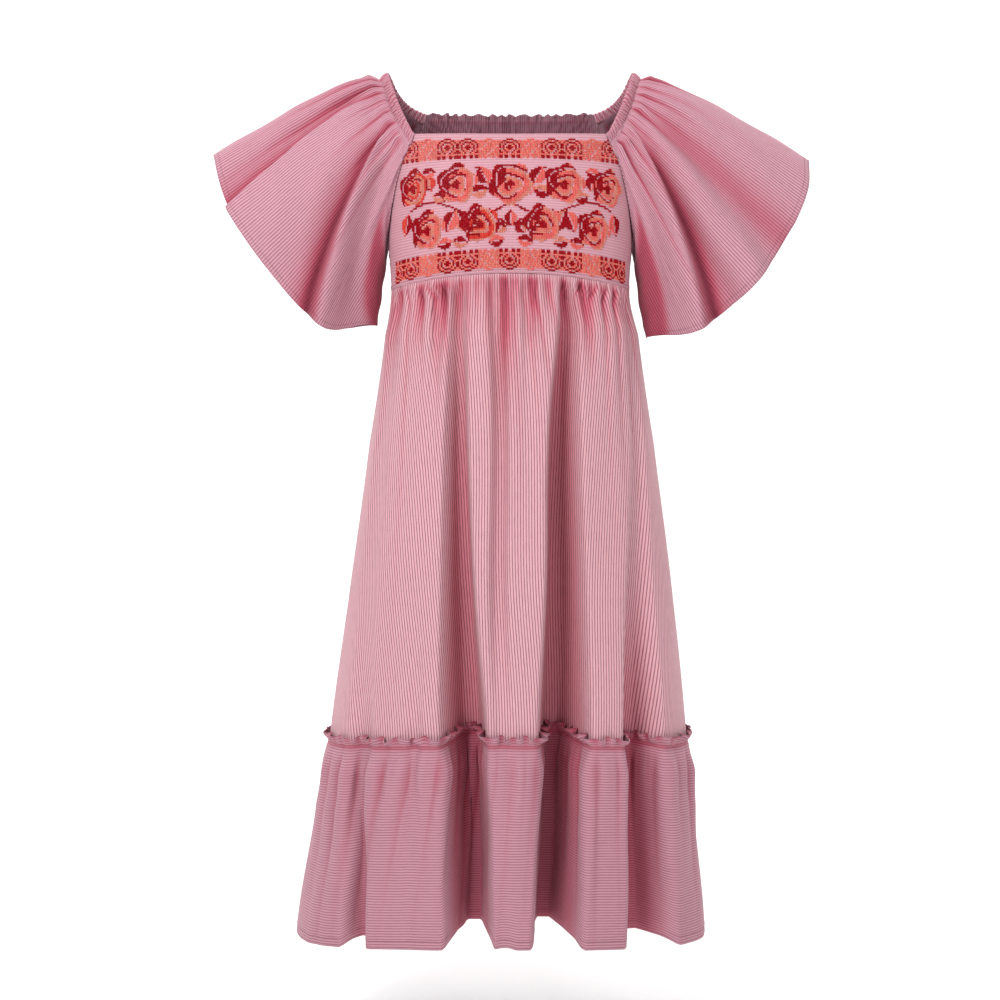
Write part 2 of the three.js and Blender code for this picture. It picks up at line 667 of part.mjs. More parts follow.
// The outer and inner points of a sleeve's wall
function sleevePoints(sleeve, s, t, gather) {
  const step = 0.004;
  const edge = armhole(t);
  const round = sleeveBase(sleeve, s, (t + step) % 1).sub(sleeveBase(sleeve, s, (t - step + 1) % 1));
  const [near, far] = [Math.max(0, s - step), Math.min(1, s + step)];
  const length = sleeveBase(sleeve, far, t).sub(sleeveBase(sleeve, near, t));
  const normal = length.cross(round).normalize();
  normal.lerp(edge.normal, 1 - smooth(0.06, 0.2, s)).normalize();
  const stand = CLOTH * smooth(0.06, 0.2, s) + sleeveRelief(sleeve, s, t);
  const outer = sleeveBase(sleeve, s, t).addScaledVector(normal, gather + stand);
  if (s > 0) keptClear(outer, CLOTH + mix(1.5, 7, smooth(0.06, 0.5, s)));
  const inner = outer.clone().addScaledVector(normal, -CLOTH);
  if (s > 0) keptClear(inner, mix(1.5, 7, smooth(0.06, 0.5, s)));
  return { outer, inner };
}

function sleeveWave(i) {
  const place = ((i - RAGLAN_COLUMNS) / NECK_COLUMNS) * SLEEVE_GATHERS;
  const calm = smooth(0, 3, Math.min(i, SLEEVE_COLUMNS - i) - RAGLAN_COLUMNS);
  return 0.5 * Math.cos(2 * Math.PI * place) * (0.6 + 0.8 * vary(Math.floor(place), 5)) * calm;
}

// A sleeve: a gathered, folded tube from the armhole to the open hem
function flutterSleeve(name, sleeve, mirror) {
  const stations = [0, 0.06, 0.16, 0.34, 0.55, 0.78, 1];
  const outer = [];
  const inner = [];
  for (const s of stations) {
    const high = column(SLEEVE_GATHER, "s", "high", s);
    const ring = Array.from({ length: SLEEVE_COLUMNS }, (_, i) =>
      sleevePoints(sleeve, s, i / SLEEVE_COLUMNS, high * sleeveWave(i)),
    );
    // The other sleeve is the mirror image, and its ring runs the other way so that its faces still point out
    if (mirror) for (const { outer: a, inner: b } of ring.reverse()) [a.x, b.x] = [-a.x, -b.x];
    outer.push(ring.map((p) => p.outer));
    inner.push(ring.map((p) => p.inner));
  }
  return wall(name, outer, inner, COLOURS.cloth, true);
}

const dress = new THREE.Group();
dress.add(yokeFront());
dress.add(shirredBack());
dress.add(skirtPanel("front", 1));
dress.add(skirtPanel("back", 2));
dress.add(rufflePanel("front", 3));
dress.add(rufflePanel("back", 4));
dress.add(flutterSleeve("sleeve_left", SLEEVES.left, true));
dress.add(flutterSleeve("sleeve_right", SLEEVES.right, false));
dress.add(neckCasing("neck_casing_left", true));
dress.add(neckCasing("neck_casing_right", false));

export default dress;
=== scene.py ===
import math

import bmesh
import bpy
import numpy as np
from mathutils import Matrix, Vector


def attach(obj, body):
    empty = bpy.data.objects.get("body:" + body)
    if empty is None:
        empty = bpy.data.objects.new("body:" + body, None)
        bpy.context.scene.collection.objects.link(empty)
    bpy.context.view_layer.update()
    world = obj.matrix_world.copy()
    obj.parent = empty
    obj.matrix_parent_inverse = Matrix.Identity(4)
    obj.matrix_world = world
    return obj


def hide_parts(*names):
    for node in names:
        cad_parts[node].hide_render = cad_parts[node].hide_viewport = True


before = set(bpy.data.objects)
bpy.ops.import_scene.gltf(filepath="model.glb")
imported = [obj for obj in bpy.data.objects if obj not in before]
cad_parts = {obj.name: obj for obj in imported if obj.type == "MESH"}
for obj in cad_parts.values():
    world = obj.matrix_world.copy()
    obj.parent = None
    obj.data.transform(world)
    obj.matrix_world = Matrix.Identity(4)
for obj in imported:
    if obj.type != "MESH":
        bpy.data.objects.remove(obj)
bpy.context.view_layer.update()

# Sizes in millimetres, as the part's source has them
MM = 0.001
CLOTH = 1.0  # wall of the finished cloth
SEAM = 0.3
SKIRT_LENGTH = 617
RUFFLE_LENGTH = 260
HEM_FALL = SKIRT_LENGTH + RUFFLE_LENGTH
CASING_WIDTH = 15
UNDERARM_Z = -240
BODICE_FOOT_Z = -298
NECK_CORNER_Z = {"front": -93, "back": -47}
SLEEVE_TOP_Z = {"front": -107.6, "back": -61.8}
TORSO_POWER = 2.5
RING_STEPS = 960  # points of a full-detail ring before its folds are spread evenly
DOUBLES = 2e-5  # metres between vertices that are one


# ---------------------------------------------------------------- camera, stage and light


def linked(name, data):
    """A new object in the scene."""
    made = bpy.data.objects.new(name, data)
    bpy.context.scene.collection.objects.link(made)
    return made


def soft_box(name, place, aim, size, power):
    """An area light that looks at a point."""
    light = bpy.data.lights.new(name, "AREA")
    light.shape = "RECTANGLE"
    light.size, light.size_y = size
    light.energy = power
    lamp = linked(name, light)
    lamp.location = place
    lamp.rotation_euler = (Vector(aim) - Vector(place)).to_track_quat("-Z", "Y").to_euler()


def set_camera():
    """The photograph's view: from in front, a little below the yoke, looking slightly down."""
    lens = bpy.data.cameras.new("photo_view")
    lens.sensor_width = 36
    lens.lens = 68
    camera = linked("photo_view", lens)
    camera.location = (-0.014, -2.6, -0.448)
    camera.rotation_euler = (math.radians(87), 0, 0)
    bpy.context.scene.camera = camera


# Each light's place, aim, size and power, in metres and watts
LIGHTS = {
    "key_softbox": ((-1.35, -2.4, 1.0), (0, 0, -0.4), (1.1, 1.3), 60),
    "fill_softbox": ((2.0, -2.6, 0.5), (0, 0, -0.5), (1.2, 1.6), 25),
    "top_softbox": ((0, -0.2, 1.7), (0, 0, -0.5), (2.4, 1.2), 16),
    "backdrop_light_left": ((-2.2, 1.6, 1.6), (-0.4, 2.8, -0.4), (1.4, 1.4), 60),
    "backdrop_light_right": ((2.2, 1.6, 1.6), (0.4, 2.8, -0.4), (1.4, 1.4), 60),
}
SKY_STRENGTH = 0.34


def set_light():
    for name, light in LIGHTS.items():
        soft_box(name, *light)
    world = bpy.data.worlds.new("studio")
    world.use_nodes = True
    sky = world.node_tree.nodes["Background"]
    sky.inputs["Color"].default_value = (1, 1, 1, 1)
    sky.inputs["Strength"].default_value = SKY_STRENGTH
    bpy.context.scene.world = world
    bpy.context.scene.view_settings.view_transform = "Standard"


# ---------------------------------------------------------------- plain maths on arrays


def mix(a, b, t):
    return a + (b - a) * t


def clamp(x, low, high):
    return np.minimum(high, np.maximum(low, x))


def smooth(low, high, x):
    t = clamp((x - low) / (high - low), 0, 1)
    return t * t * (3 - 2 * t)


def signed_power(x, p):
    return np.sign(x) * np.abs(x) ** p


def vary(i, salt):
    """A repeatable number from 0 to 1 that differs from one gather to the next."""
    x = np.sin(np.asarray(i) * 12.9898 + salt * 78.233) * 43758.5453
    return x - np.floor(x)


def column(places, values, at):
    """The value of one column of a table at a place, on a smooth curve through its rows."""
    places = np.asarray(places, float)
    values = np.asarray(values, float)
    last = len(places) - 1
    i = np.clip(np.searchsorted(places, at, side="left") - 1, 0, last - 1)
    t = clamp((at - places[i]) / (places[i + 1] - places[i]), 0, 1)
    a, b, c, d = (values[np.clip(i + k, 0, last)] for k in (-1, 0, 1, 2))
    return b + 0.5 * t * (c - a + t * (2 * a - 5 * b + 4 * c - d + t * (3 * (b - c) + d - a)))


def unit(v):
    return v / np.maximum(np.linalg.norm(v, axis=-1, keepdims=True), 1e-9)


def stacked(*values):
    """Points or vectors from their coordinates, which may be numbers or arrays."""
    return np.stack(np.broadcast_arrays(*values), axis=-1)


def to_edge(share):
    """The distance from the nearer end of a run from 0 to 1."""
    return np.minimum(share, 1 - share)


# ---------------------------------------------------------------- the dress's rings

TORSO = {
    "z": (-300, -280, -240, -200, -150, -96, -40),
    "half": (163, 163, 166, 166, 165, 163, 160),
    "front": (105, 106, 114, 116, 104, 88, 74),
    "back": (96, 97, 101, 104, 103, 98, 91),
}
SKIRT = {
    "fall": (0, 60, 209, 424, 617, 700, 877),
    "centre": (0, 2, 2, 1, -3, -7, -13),
    "half": (163, 175, 196, 224, 247, 259, 282),
    "front": (105, 117, 133, 151, 168, 176, 192),
    "back": (96, 109, 128, 148, 165, 173, 188),
    "power": (2.5, 2.45, 2.35, 2.25, 2.2, 2.15, 2.1),
}
HEIGHTS = {
    "front": {"empire": (-280, 18), "ruffle": (-897, 17), "hem": (-1157, 24)},
    "back": {"empire": (-292, 6), "ruffle": (-909, 5), "hem": (-1171, 10)},
}
VALLEY_LIFT = 0.1  # how far the hem rises for each millimetre that a fold goes in
# The folds from left to right, seen from outside: for each, its place across the half width, its half width and
# its depth, all three at the falls listed first
FOLD_FALLS = (0, 205, 410, 617, 740, 877)
VALLEYS = {
    "front": (
        ((-0.93, -0.9, -0.86, -0.79, -0.74, -0.69), (16, 20, 24, 25, 22, 24), (8, 6, 3, 10, 22, 30)),
        ((-0.57, -0.56, -0.55, -0.5, -0.46, -0.44), (11, 13, 14, 14, 14, 14), (9, 2, 0, 5, 2, 0)),
        ((-0.424, -0.377, -0.318, -0.235, -0.18, -0.15), (13, 19, 26, 36, 36, 36), (11, 34, 58, 82, 88, 92)),
        ((-0.128, -0.08, -0.077, -0.03, 0, 0.02), (12, 14, 15, 16, 16, 16), (10, 16, 14, 3, 0, 3)),
        ((0.119, 0.12, 0.12, 0.12, 0.12, 0.12), (11, 13, 14, 14, 14, 14), (9, 2, 0, 0, 0, 0)),
        ((0.457, 0.356, 0.324, 0.3, 0.285, 0.26), (15, 25, 31, 40, 38, 37), (16, 55, 74, 92, 98, 102)),
        ((0.94, 0.86, 0.77, 0.735, 0.735, 0.72), (14, 17, 28, 38, 42, 48), (6, 6, 18, 46, 55, 58)),
    ),
    "back": (
        ((-0.82, -0.76, -0.72, -0.68, -0.67, -0.66), (14, 22, 28, 34, 36, 38), (8, 20, 34, 50, 56, 60)),
        ((-0.46, -0.4, -0.37, -0.34, -0.33, -0.31), (13, 20, 28, 36, 37, 38), (10, 34, 52, 74, 80, 84)),
        ((-0.12, -0.09, -0.05, -0.02, 0, 0.01), (12, 15, 18, 22, 24, 26), (9, 14, 16, 24, 30, 34)),
        ((0.27, 0.25, 0.27, 0.28, 0.3, 0.3), (13, 21, 28, 37, 38, 38), (11, 38, 60, 84, 90, 94)),
        ((0.72, 0.69, 0.66, 0.63, 0.62, 0.62), (14, 18, 26, 33, 36, 40), (7, 12, 26, 44, 50, 56)),
    ),
}
VALLEY_FLOOR = 0.22  # share of a fold's half width that is its level floor
VALLEY_START = 30  # fall over which the folds set in
SIDE_CALM = 26  # distance from the side seams over which they do
STRIPE_SLIP = 0.5  # share of a fold's depth that the stripes run into
STEADY_FALL = 75  # above this the stripes keep their course to the seam
SKIRT_GATHERS = {"front": 24, "back": 24}
RUFFLE_GATHERS = {"front": 32, "back": 24}


def skirt_level(fall):
    """The skirt's ring at one distance below the empire seam or at several."""
    return {key: column(SKIRT["fall"], SKIRT[key], fall) for key in SKIRT if key != "fall"}


def torso_level(z):
    """The bodice's ring at one height or at several."""
    level = {key: column(TORSO["z"], TORSO[key], z) for key in ("half", "front", "back")}
    return {**level, "centre": 0, "power": TORSO_POWER}


def ring_point(level, side, share):
    """Points of a ring from -1 at the start of a side of the dress to 1 at its end."""
    angle = share * math.pi / 2
    across = signed_power(np.sin(angle), 2 / level["power"]) * (1 if side == "front" else -1)
    out = np.abs(np.cos(angle)) ** (2 / level["power"])
    y = -level["front"] * out if side == "front" else level["back"] * out
    return level["centre"] + level["half"] * across, y, across


def share_across(power, across):
    return np.arcsin(clamp(signed_power(across, power / 2), -1, 1)) * 2 / math.pi


def arcs(x, y, z=None):
    """Distances along a row of points."""
    if z is None:
        steps = np.hypot(np.diff(x), np.diff(y))
    else:
        steps = np.sqrt(np.diff(x) ** 2 + np.diff(y) ** 2 + np.diff(z) ** 2)
    return np.concatenate([[0], np.cumsum(steps)])


def plan_normals(x, y):
    """The outward normal at each point of a row, seen from above."""
    dx, dy = np.gradient(x), np.gradient(y)
    length = np.hypot(dx, dy)
    return dy / length, -dx / length


def height_at(side, fall, across):
    rows = HEIGHTS[side]
    at = {key: z - drop * across**2 for key, (z, drop) in rows.items()}
    if fall <= SKIRT_LENGTH:
        return mix(at["empire"], at["ruffle"], fall / SKIRT_LENGTH)
    return mix(at["ruffle"], at["hem"], (fall - SKIRT_LENGTH) / RUFFLE_LENGTH)


def body_row(side, fall, columns):
    """One row of the skirt or ruffle with its folds: its points, the outward normals in plan of the row and of
    the ring before its folds, how far each point lies in a fold, and its places on the cloth and on the ring."""
    level = skirt_level(fall)
    share = np.linspace(-1, 1, RING_STEPS + 1)
    x, y, across = ring_point(level, side, share)
    out_x, out_y = plan_normals(x, y)
    along = arcs(x, y)
    calm = smooth(0, SIDE_CALM, np.minimum(along, along[-1] - along))
    moved_x, moved_y, inward = x.copy(), y.copy(), np.zeros_like(x)
    facing = 1 if side == "front" else -1
    for valley in VALLEYS[side]:
        place, half, deep = (column(FOLD_FALLS, values, fall) for values in valley)
        middle = share_across(level["power"], place * facing)
        deep = max(0, deep) * smooth(0, VALLEY_START, fall)
        reach = np.abs(along - np.interp(middle, share, along)) / half
        depth = deep * calm * (1 - smooth(VALLEY_FLOOR, 1, reach))
        moved_x -= np.interp(middle, share, out_x) * depth
        moved_y -= np.interp(middle, share, out_y) * depth
        inward += depth
    flat = along
    along = arcs(moved_x, moved_y)
    even = np.linspace(0, along[-1], columns + 1)
    ring_x, ring_y = (np.interp(even, along, v) for v in (out_x, out_y))
    x, y, across, inward, flat = (np.interp(even, along, v) for v in (moved_x, moved_y, across, inward, flat))
    out_x, out_y = plan_normals(x, y)
    z = height_at(side, fall, across) + VALLEY_LIFT * smooth(0, HEM_FALL, fall) * inward
    y[[0, -1]] = -SEAM / 2 if side == "front" else SEAM / 2
    out_x[[0, -1]], out_y[[0, -1]] = np.sign(x[[0, -1]]), 0
    middle = columns // 2
    stripes = mix(flat - flat[middle], even - even[middle], STRIPE_SLIP)
    return {
        "at": stacked(x, y, z),
        "out": stacked(out_x, out_y, 0.0),
        "ring_out": stacked(ring_x, ring_y, 0.0),
        "inward": inward,
        "stripes": stripes,
        "ring_share": flat / flat[-1],
    }


# ---------------------------------------------------------------- meshes


def mesh_of(bm, name):
    mesh = bpy.data.meshes.new(name)
    bm.to_mesh(mesh)
    bm.free()
    return mesh


def cloth_grid(name, points, uv, materials, outward, ring=False, thick=CLOTH, painted_shade=None):
    """A sheet of cloth from a grid of points in millimetres."""
    rows, columns = points.shape[:2]
    bm = bmesh.new()
    bmesh.ops.create_grid(bm, x_segments=columns - 1, y_segments=rows - 1, size=1)
    mesh = mesh_of(bm, name)
    mesh.vertices.foreach_set("co", (points.reshape(-1, 3) * MM).astype(np.float32).ravel())
    corner = np.empty(len(mesh.loops), np.int32)
    mesh.loops.foreach_get("vertex_index", corner)
    layer = mesh.uv_layers.new(name="cut")
    layer.data.foreach_set("uv", (uv.reshape(-1, 2)[corner] * MM).astype(np.float32).ravel())
    # The attribute stored here is painted shade: how far the materials darken the colour in folds, creases and
    # gathers
    depth = mesh.attributes.new("painted_shade", "FLOAT", "POINT")
    painted_shade = np.zeros(rows * columns) if painted_shade is None else painted_shade
    depth.data.foreach_set("value", painted_shade.astype(np.float32).ravel())
    bm = bmesh.new()
    bm.from_mesh(mesh)
    if ring:
        bmesh.ops.remove_doubles(bm, verts=bm.verts, dist=DOUBLES)
    bm.normal_update()
    bm.faces.ensure_lookup_table()
    probe = bm.faces[len(bm.faces) // 2]
    if probe.normal.dot(Vector(outward(probe.calc_center_median()))) < 0:
        bmesh.ops.reverse_faces(bm, faces=bm.faces)
    bm.to_mesh(mesh)
    bm.free()
    mesh.shade_smooth()
    piece = linked(name, mesh)
    for material in materials:
        mesh.materials.append(material)
    wall = piece.modifiers.new("wall", "SOLIDIFY")
    wall.thickness = thick * MM
    wall.offset = -1
    wall.use_even_offset = False
    # The inner faces take the last of the materials; for most pieces that is the darker inside cotton, painted
    # shade
    wall.material_offset = len(materials) - 1
    return piece


def vertices(made):
    """The vertices among what an operator made."""
    return [part for part in made["geom"] if isinstance(part, bmesh.types.BMVert)]


def from_axis(p):
    """The way out of the dress from its upright axis."""
    return p.x, p.y, 0


def worn(piece, node):
    """A piece of cloth that takes the place of its solid."""
    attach(piece, "root")
    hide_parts(node)
    return piece


# ---------------------------------------------------------------- materials


class Value:
    """A socket with the arithmetic that the materials use."""

    def __init__(self, tree, socket):
        self.tree, self.socket = tree, socket

    def _math(self, operation, *values):
        return self.tree.node("ShaderNodeMath", {"operation": operation}, values)

    def __add__(self, other):
        return self._math("ADD", self, other)

    def __sub__(self, other):
        return self._math("SUBTRACT", self, other)

    def __mul__(self, other):
        return self._math("MULTIPLY", self, other)

    def __truediv__(self, other):
        return self._math("DIVIDE", self, other)

    def fraction(self):
        return self._math("FRACT", self)

    def size(self):
        return self._math("ABSOLUTE", self)

    def sine(self):
        return self._math("SINE", self)

    def ramp(self, low, high, to_low=0, to_high=1):
        """This value taken smoothly from one range to another."""
        return self.tree.node(
            "ShaderNodeMapRange",
            {"interpolation_type": "SMOOTHSTEP"},
            {"Value": self, "From Min": low, "From Max": high, "To Min": to_low, "To Max": to_high},
        )


class Finish:
    """A material in the making: every node comes from one method."""

    def __init__(self, name, colour):
        self.material = bpy.data.materials.new(name)
        self.material.use_nodes = True
        self.material.diffuse_color = (*colour, 1)
        self.nodes = self.material.node_tree.nodes
        self.links = self.material.node_tree.links
        self.shader = self.nodes["Principled BSDF"]

    def node(self, kind, settings, values, output=0):
        made = self.nodes.new(kind)
        for key, value in settings.items():
            setattr(made, key, value)
        pairs = values.items() if isinstance(values, dict) else enumerate(values)
        for key, value in pairs:
            self.feed(made.inputs[key], value)
        return Value(self, made.outputs[output])

    def feed(self, socket, value):
        if isinstance(value, Value):
            self.links.new(value.socket, socket)
        else:
            socket.default_value = value

    def blend(self, share, a, b, how="MIX"):
        """Two colours mixed by a share, or one multiplied by the other."""
        made = self.nodes.new("ShaderNodeMix")
        made.data_type, made.blend_type = "RGBA", how
        self.feed(made.inputs[0], share)
        for place, shade in ((6, a), (7, b)):
            self.feed(made.inputs[place], shade if isinstance(shade, Value) else (*shade, 1))
        return Value(self, made.outputs[2])

    def noise(self, vector, scale, detail=2.0, rough=0.5):
        values = {"Vector": vector, "Scale": scale, "Detail": detail, "Roughness": rough}
        return self.node("ShaderNodeTexNoise", {}, values)

    def stretched(self, vector, scale):
        return self.node("ShaderNodeMapping", {}, {"Vector": vector, "Scale": scale})

    def object_place(self):
        return self.node("ShaderNodeTexCoord", {}, {}, "Object")

    def cut_place(self):
        """Where a point lies on the flat cloth, in metres, and its two parts."""
        place = self.node("ShaderNodeUVMap", {"uv_map": "cut"}, {})
        across = self.node("ShaderNodeSeparateXYZ", {}, (place,))
        return place, across, Value(self, across.socket.node.outputs[1])

    def bump(self, height, strength, distance):
        made = self.node("ShaderNodeBump", {}, {"Height": height, "Strength": strength, "Distance": distance})
        self.feed(self.shader.inputs["Normal"], made)

    def shine(self, **sockets):
        for key, value in sockets.items():
            self.shader.inputs[key.replace("_", " ")].default_value = value


def colour(red, green, blue):
    """A colour on a screen's scale of 0 to 255 as Blender's linear one."""
    shares = (red / 255, green / 255, blue / 255)
    return tuple(((c + 0.055) / 1.055) ** 2.4 if c > 10 / 255 else c / 12.92 for c in shares)


def lighter(shade, times):
    return tuple(min(1, c * times) for c in shade)


FOLD_SHADE_COLOUR = (0.82, 0.3, 0.39)  # painted shade: the colour that cloth in the bottom of a fold is darkened towards, for its being lit only by its own pink walls
CREASE_LINE_SHADE_COLOUR = (0.5, 0.36, 0.42)  # painted shade: a darker colour still, for the line at the very bottom of a sharp crease
YARN = 0.00055  # metres between two yarns of the weave


def striped_cotton(name, ground, stripe, pitch=0.0037, deep=0.85, slub=0.16):
    """Cotton with fine woven stripes down the cut; the pitch is one pink and one mauve stripe, in metres."""
    finish = Finish(name, ground)
    place, across, down = finish.cut_place()
    waver = finish.noise(finish.object_place(), 220, 1) - 0.5
    beat = ((across + waver * 0.00035) / pitch).fraction() - 0.5
    line = beat.size().ramp(0.13, 0.24, 1, 0)
    yarn = finish.noise(finish.stretched(place, (2600, 60, 1)), 1, 2)
    speck = finish.noise(finish.object_place(), 1500, 1)
    mottled = finish.noise(finish.object_place(), 9, 3)
    pink = finish.blend(mottled.ramp(0.3, 0.7, 0, slub), ground, lighter(ground, 1.12))
    pink = finish.blend(yarn.ramp(0.45, 0.8, 0, 0.28), pink, stripe)
    mauve = finish.blend(yarn.ramp(0.3, 0.7, 0.0, 0.35), stripe, ground)
    cloth = finish.blend(line * speck.ramp(0.25, 0.6, 0.62, 1) * deep, pink, mauve)
    # The attribute read here darkens the colour: painted shade in folds, creases and gathers, and above 1 a
    # darker painted shade at the bottom of sharp creases
    painted_shade = finish.node("ShaderNodeAttribute", {"attribute_name": "painted_shade"}, {}, "Fac")
    cloth = finish.blend(painted_shade, cloth, finish.blend(1, cloth, FOLD_SHADE_COLOUR, "MULTIPLY"))
    cloth = finish.blend(painted_shade - 1, cloth, finish.blend(1, cloth, CREASE_LINE_SHADE_COLOUR, "MULTIPLY"))
    finish.feed(finish.shader.inputs["Base Color"], cloth)
    finish.feed(finish.shader.inputs["Roughness"], yarn.ramp(0.2, 0.8, 0.82, 0.93))
    turn = 2 * math.pi / YARN
    weave = (across * turn).sine() * (down * turn).sine()
    finish.bump(weave * 0.5 + speck * 0.6 + line * 0.35, 0.35, 0.00025)
    finish.shine(Sheen_Weight=0.12, Sheen_Roughness=0.5, Specular_IOR_Level=0.25)
    return finish.material


def thread_finish(name, shade, dark):
    """Embroidery cotton: soft streaks along the strands, with a little sheen."""
    finish = Finish(name, shade)
    place = finish.object_place()
    strand = finish.noise(finish.stretched(place, (1800, 1800, 500)), 1, 2)
    batch = finish.noise(finish.stretched(place, (260, 260, 24)), 1, 1)
    streaks = finish.blend(strand.ramp(0.3, 0.7, 0, 0.3), shade, dark)
    shaded = finish.blend(batch.ramp(0.42, 0.68, 0, 0.6), streaks, dark)
    finish.feed(finish.shader.inputs["Base Color"], shaded)
    finish.feed(finish.shader.inputs["Roughness"], strand.ramp(0.2, 0.8, 0.6, 0.8))
    finish.bump(strand, 0.25, 0.0002)
    finish.shine(Specular_IOR_Level=0.12)
    return finish.material


def plain_finish(name, shade, rough=0.9):
    finish = Finish(name, shade)
    grain = finish.noise(finish.object_place(), 3, 2)
    finish.feed(finish.shader.inputs["Base Color"], finish.blend(grain, shade, lighter(shade, 1.03)))
    finish.feed(finish.shader.inputs["Roughness"], grain.ramp(0, 1, rough - 0.05, rough))
    return finish.material


# Each cloth: its name, its ground and stripe, and its stripes' pitch and depth. The ruffle's and the sleeves'
# grounds are the skirt's cotton made darker, painted shade for how little light they take; the inside is a
# darker copy still, painted shade for the dress's inside.
COTTON, RUFFLE_COTTON_SHADED, SLEEVE_COTTON_SHADED, COTTON_INSIDE_SHADED, YOKE_CLOTH = (
    striped_cotton(name, colour(*ground), colour(*stripe), pitch, deep)
    for name, ground, stripe, pitch, deep in (
        ("striped_cotton", (222, 171, 179), (124, 62, 82), 0.0037, 0.97),
        # The ruffle's crosswise stripe pitch is its own; its darker ground is painted shade
        ("ruffle_cotton_shaded", (195, 141, 154), (116, 63, 82), 0.00345, 0.78),
        # The sleeves' darker ground, also used on the casings, is painted shade
        ("sleeve_cotton_shaded", (209, 156, 169), (122, 62, 84), 0.0038, 0.9),
        ("striped_cotton_inside_shaded", (152, 108, 121), (92, 54, 70), 0.0037, 0.85),
        ("yoke_cotton", (210, 157, 167), (150, 98, 118), 0.0035, 0.55),
    )
)


# ---------------------------------------------------------------- skirt and ruffle


GATHER_WARP = 0.22  # how far the gathers stray from an even spacing


def gathers_at(share, gathers, salt, fall, rise, fade, high):
    """The gathers at a row: their outward swell, and the painted shade for how far each point lies down in a
    crease.

    The crests are round and the creases between them narrow, and each gather has its own size and length."""
    edge = to_edge(share)
    place = share * gathers + GATHER_WARP * np.sin(share * gathers * 0.9 + salt) * np.minimum(1, edge * 12)
    index = np.floor(place)
    size = 0.55 + 0.9 * vary(index, salt)
    length = fade * (0.45 + 1.25 * vary(index, salt + 11) ** 1.6)
    crest = np.abs(np.sin(math.pi * place)) ** 0.8
    fading = np.exp(-((fall / length) ** 1.3))
    strength = rise * size * smooth(0, 0.05, edge) * fading
    return high * strength * crest, strength * (1 - crest) ** 1.6


# Creases that hang from the empire seam: place across the half width, half width, depth and length
CREASES = {
    "front": (
        (-0.9, 5, 5, 70), (-0.72, 4.5, 7, 60), (-0.6, 4, 4, 40), (-0.53, 4.5, 8, 70), (-0.4, 4.5, 5, 50),
        (-0.27, 4, 4, 45), (-0.16, 4, 4, 60), (-0.05, 4.5, 9, 110), (0.05, 4, 4, 45), (0.165, 4.5, 8, 60),
        (0.28, 4, 4, 50), (0.42, 4.5, 6, 60), (0.57, 4.5, 9, 70), (0.645, 4, 6, 35), (0.74, 4, 5, 45),
        (0.84, 4, 4, 40),
    ),
    "back": (
        (-0.8, 5, 6, 90), (-0.62, 6, 9, 120), (-0.42, 6, 8, 80), (-0.3, 5, 6, 60), (-0.1, 6, 10, 140),
        (0.06, 5, 6, 70), (0.2, 6, 9, 120), (0.44, 5, 7, 80), (0.6, 6, 9, 110), (0.8, 5, 6, 70),
    ),
}


def creases_at(side, row, fall, rise):
    """How far the creases take a row inward."""
    level = skirt_level(fall)
    across = (row["at"][:, 0] - level["centre"]) / level["half"]
    inward = np.zeros_like(across)
    for place, half, deep, length in CREASES[side]:
        away = (across - place) * level["half"] / (half * (1 + fall / 90))
        inward += deep * np.exp(-(away**2)) * np.exp(-((fall / length) ** 1.8)) * rise
    return inward


def skirt_surface(side, salt, rows, columns):
    """The skirt's grid of points, its place on the flat cut, and the painted shade of each point in the folds,
    creases and gathers.
    """
    falls = SEAM + (SKIRT_LENGTH - 1 - SEAM) * np.linspace(0, 1, rows) ** 1.35
    share = np.linspace(0, 1, columns + 1)
    edge = to_edge(share)
    points, cut, painted_shade = [], [], []
    steady = body_row(side, STEADY_FALL, columns)
    for fall in falls:
        row = body_row(side, fall, columns)
        if fall < STEADY_FALL:
            # The gathers at the seam take up the cloth, so the stripes run straight down from it
            row["stripes"] = np.interp(row["ring_share"], steady["ring_share"], steady["stripes"])
        rise = 0.2 + 0.8 * smooth(0, 12, fall)
        wide, wide_crease_shade = gathers_at(share, SKIRT_GATHERS[side], salt, fall, rise, fade=130, high=5.2)
        fine, fine_crease_shade = gathers_at(share, SKIRT_GATHERS[side] * 2.4, salt + 5, fall, rise, fade=40, high=2.8)
        crease = creases_at(side, row, fall, rise)
        turned = 0.3 + 0.7 * np.abs(row["ring_out"][:, 1])
        swell = (wide + fine - crease) * turned - 3.2 * math.exp(-((fall / 150) ** 1.3)) * rise
        drift = np.sin(share * 37 + fall / 95 + salt) * np.sin(fall / 140 + share * 11)
        swell += 1.6 * smooth(80, 260, fall) * drift * smooth(0, 0.06, edge)
        points.append(row["at"] + row["ring_out"] * swell[:, None])
        cut.append(stacked(row["stripes"], -fall))
        # Painted shade: in the fold valleys, along the creases and between the gathers
        depth = 0.58 * smooth(5, 44, row["inward"]) + 0.19 * crease + 0.9 * wide_crease_shade + 0.5 * fine_crease_shade
        painted_shade.append(clamp(depth, 0, 2))
    return np.array(points), np.array(cut), np.array(painted_shade)


def make_skirt(side, salt, rows, columns):
    points, cut, painted_shade = skirt_surface(side, salt, rows, columns)
    sides = (COTTON, COTTON_INSIDE_SHADED)
    return worn(
        cloth_grid("skirt_%s_cloth" % side, points, cut, sides, outward=from_axis, painted_shade=painted_shade), "skirt_" + side
    )


FRILL = 13  # height of the ruffle's heading
HEM_CORNER = 7  # how far the hem turns up where it runs into a fold


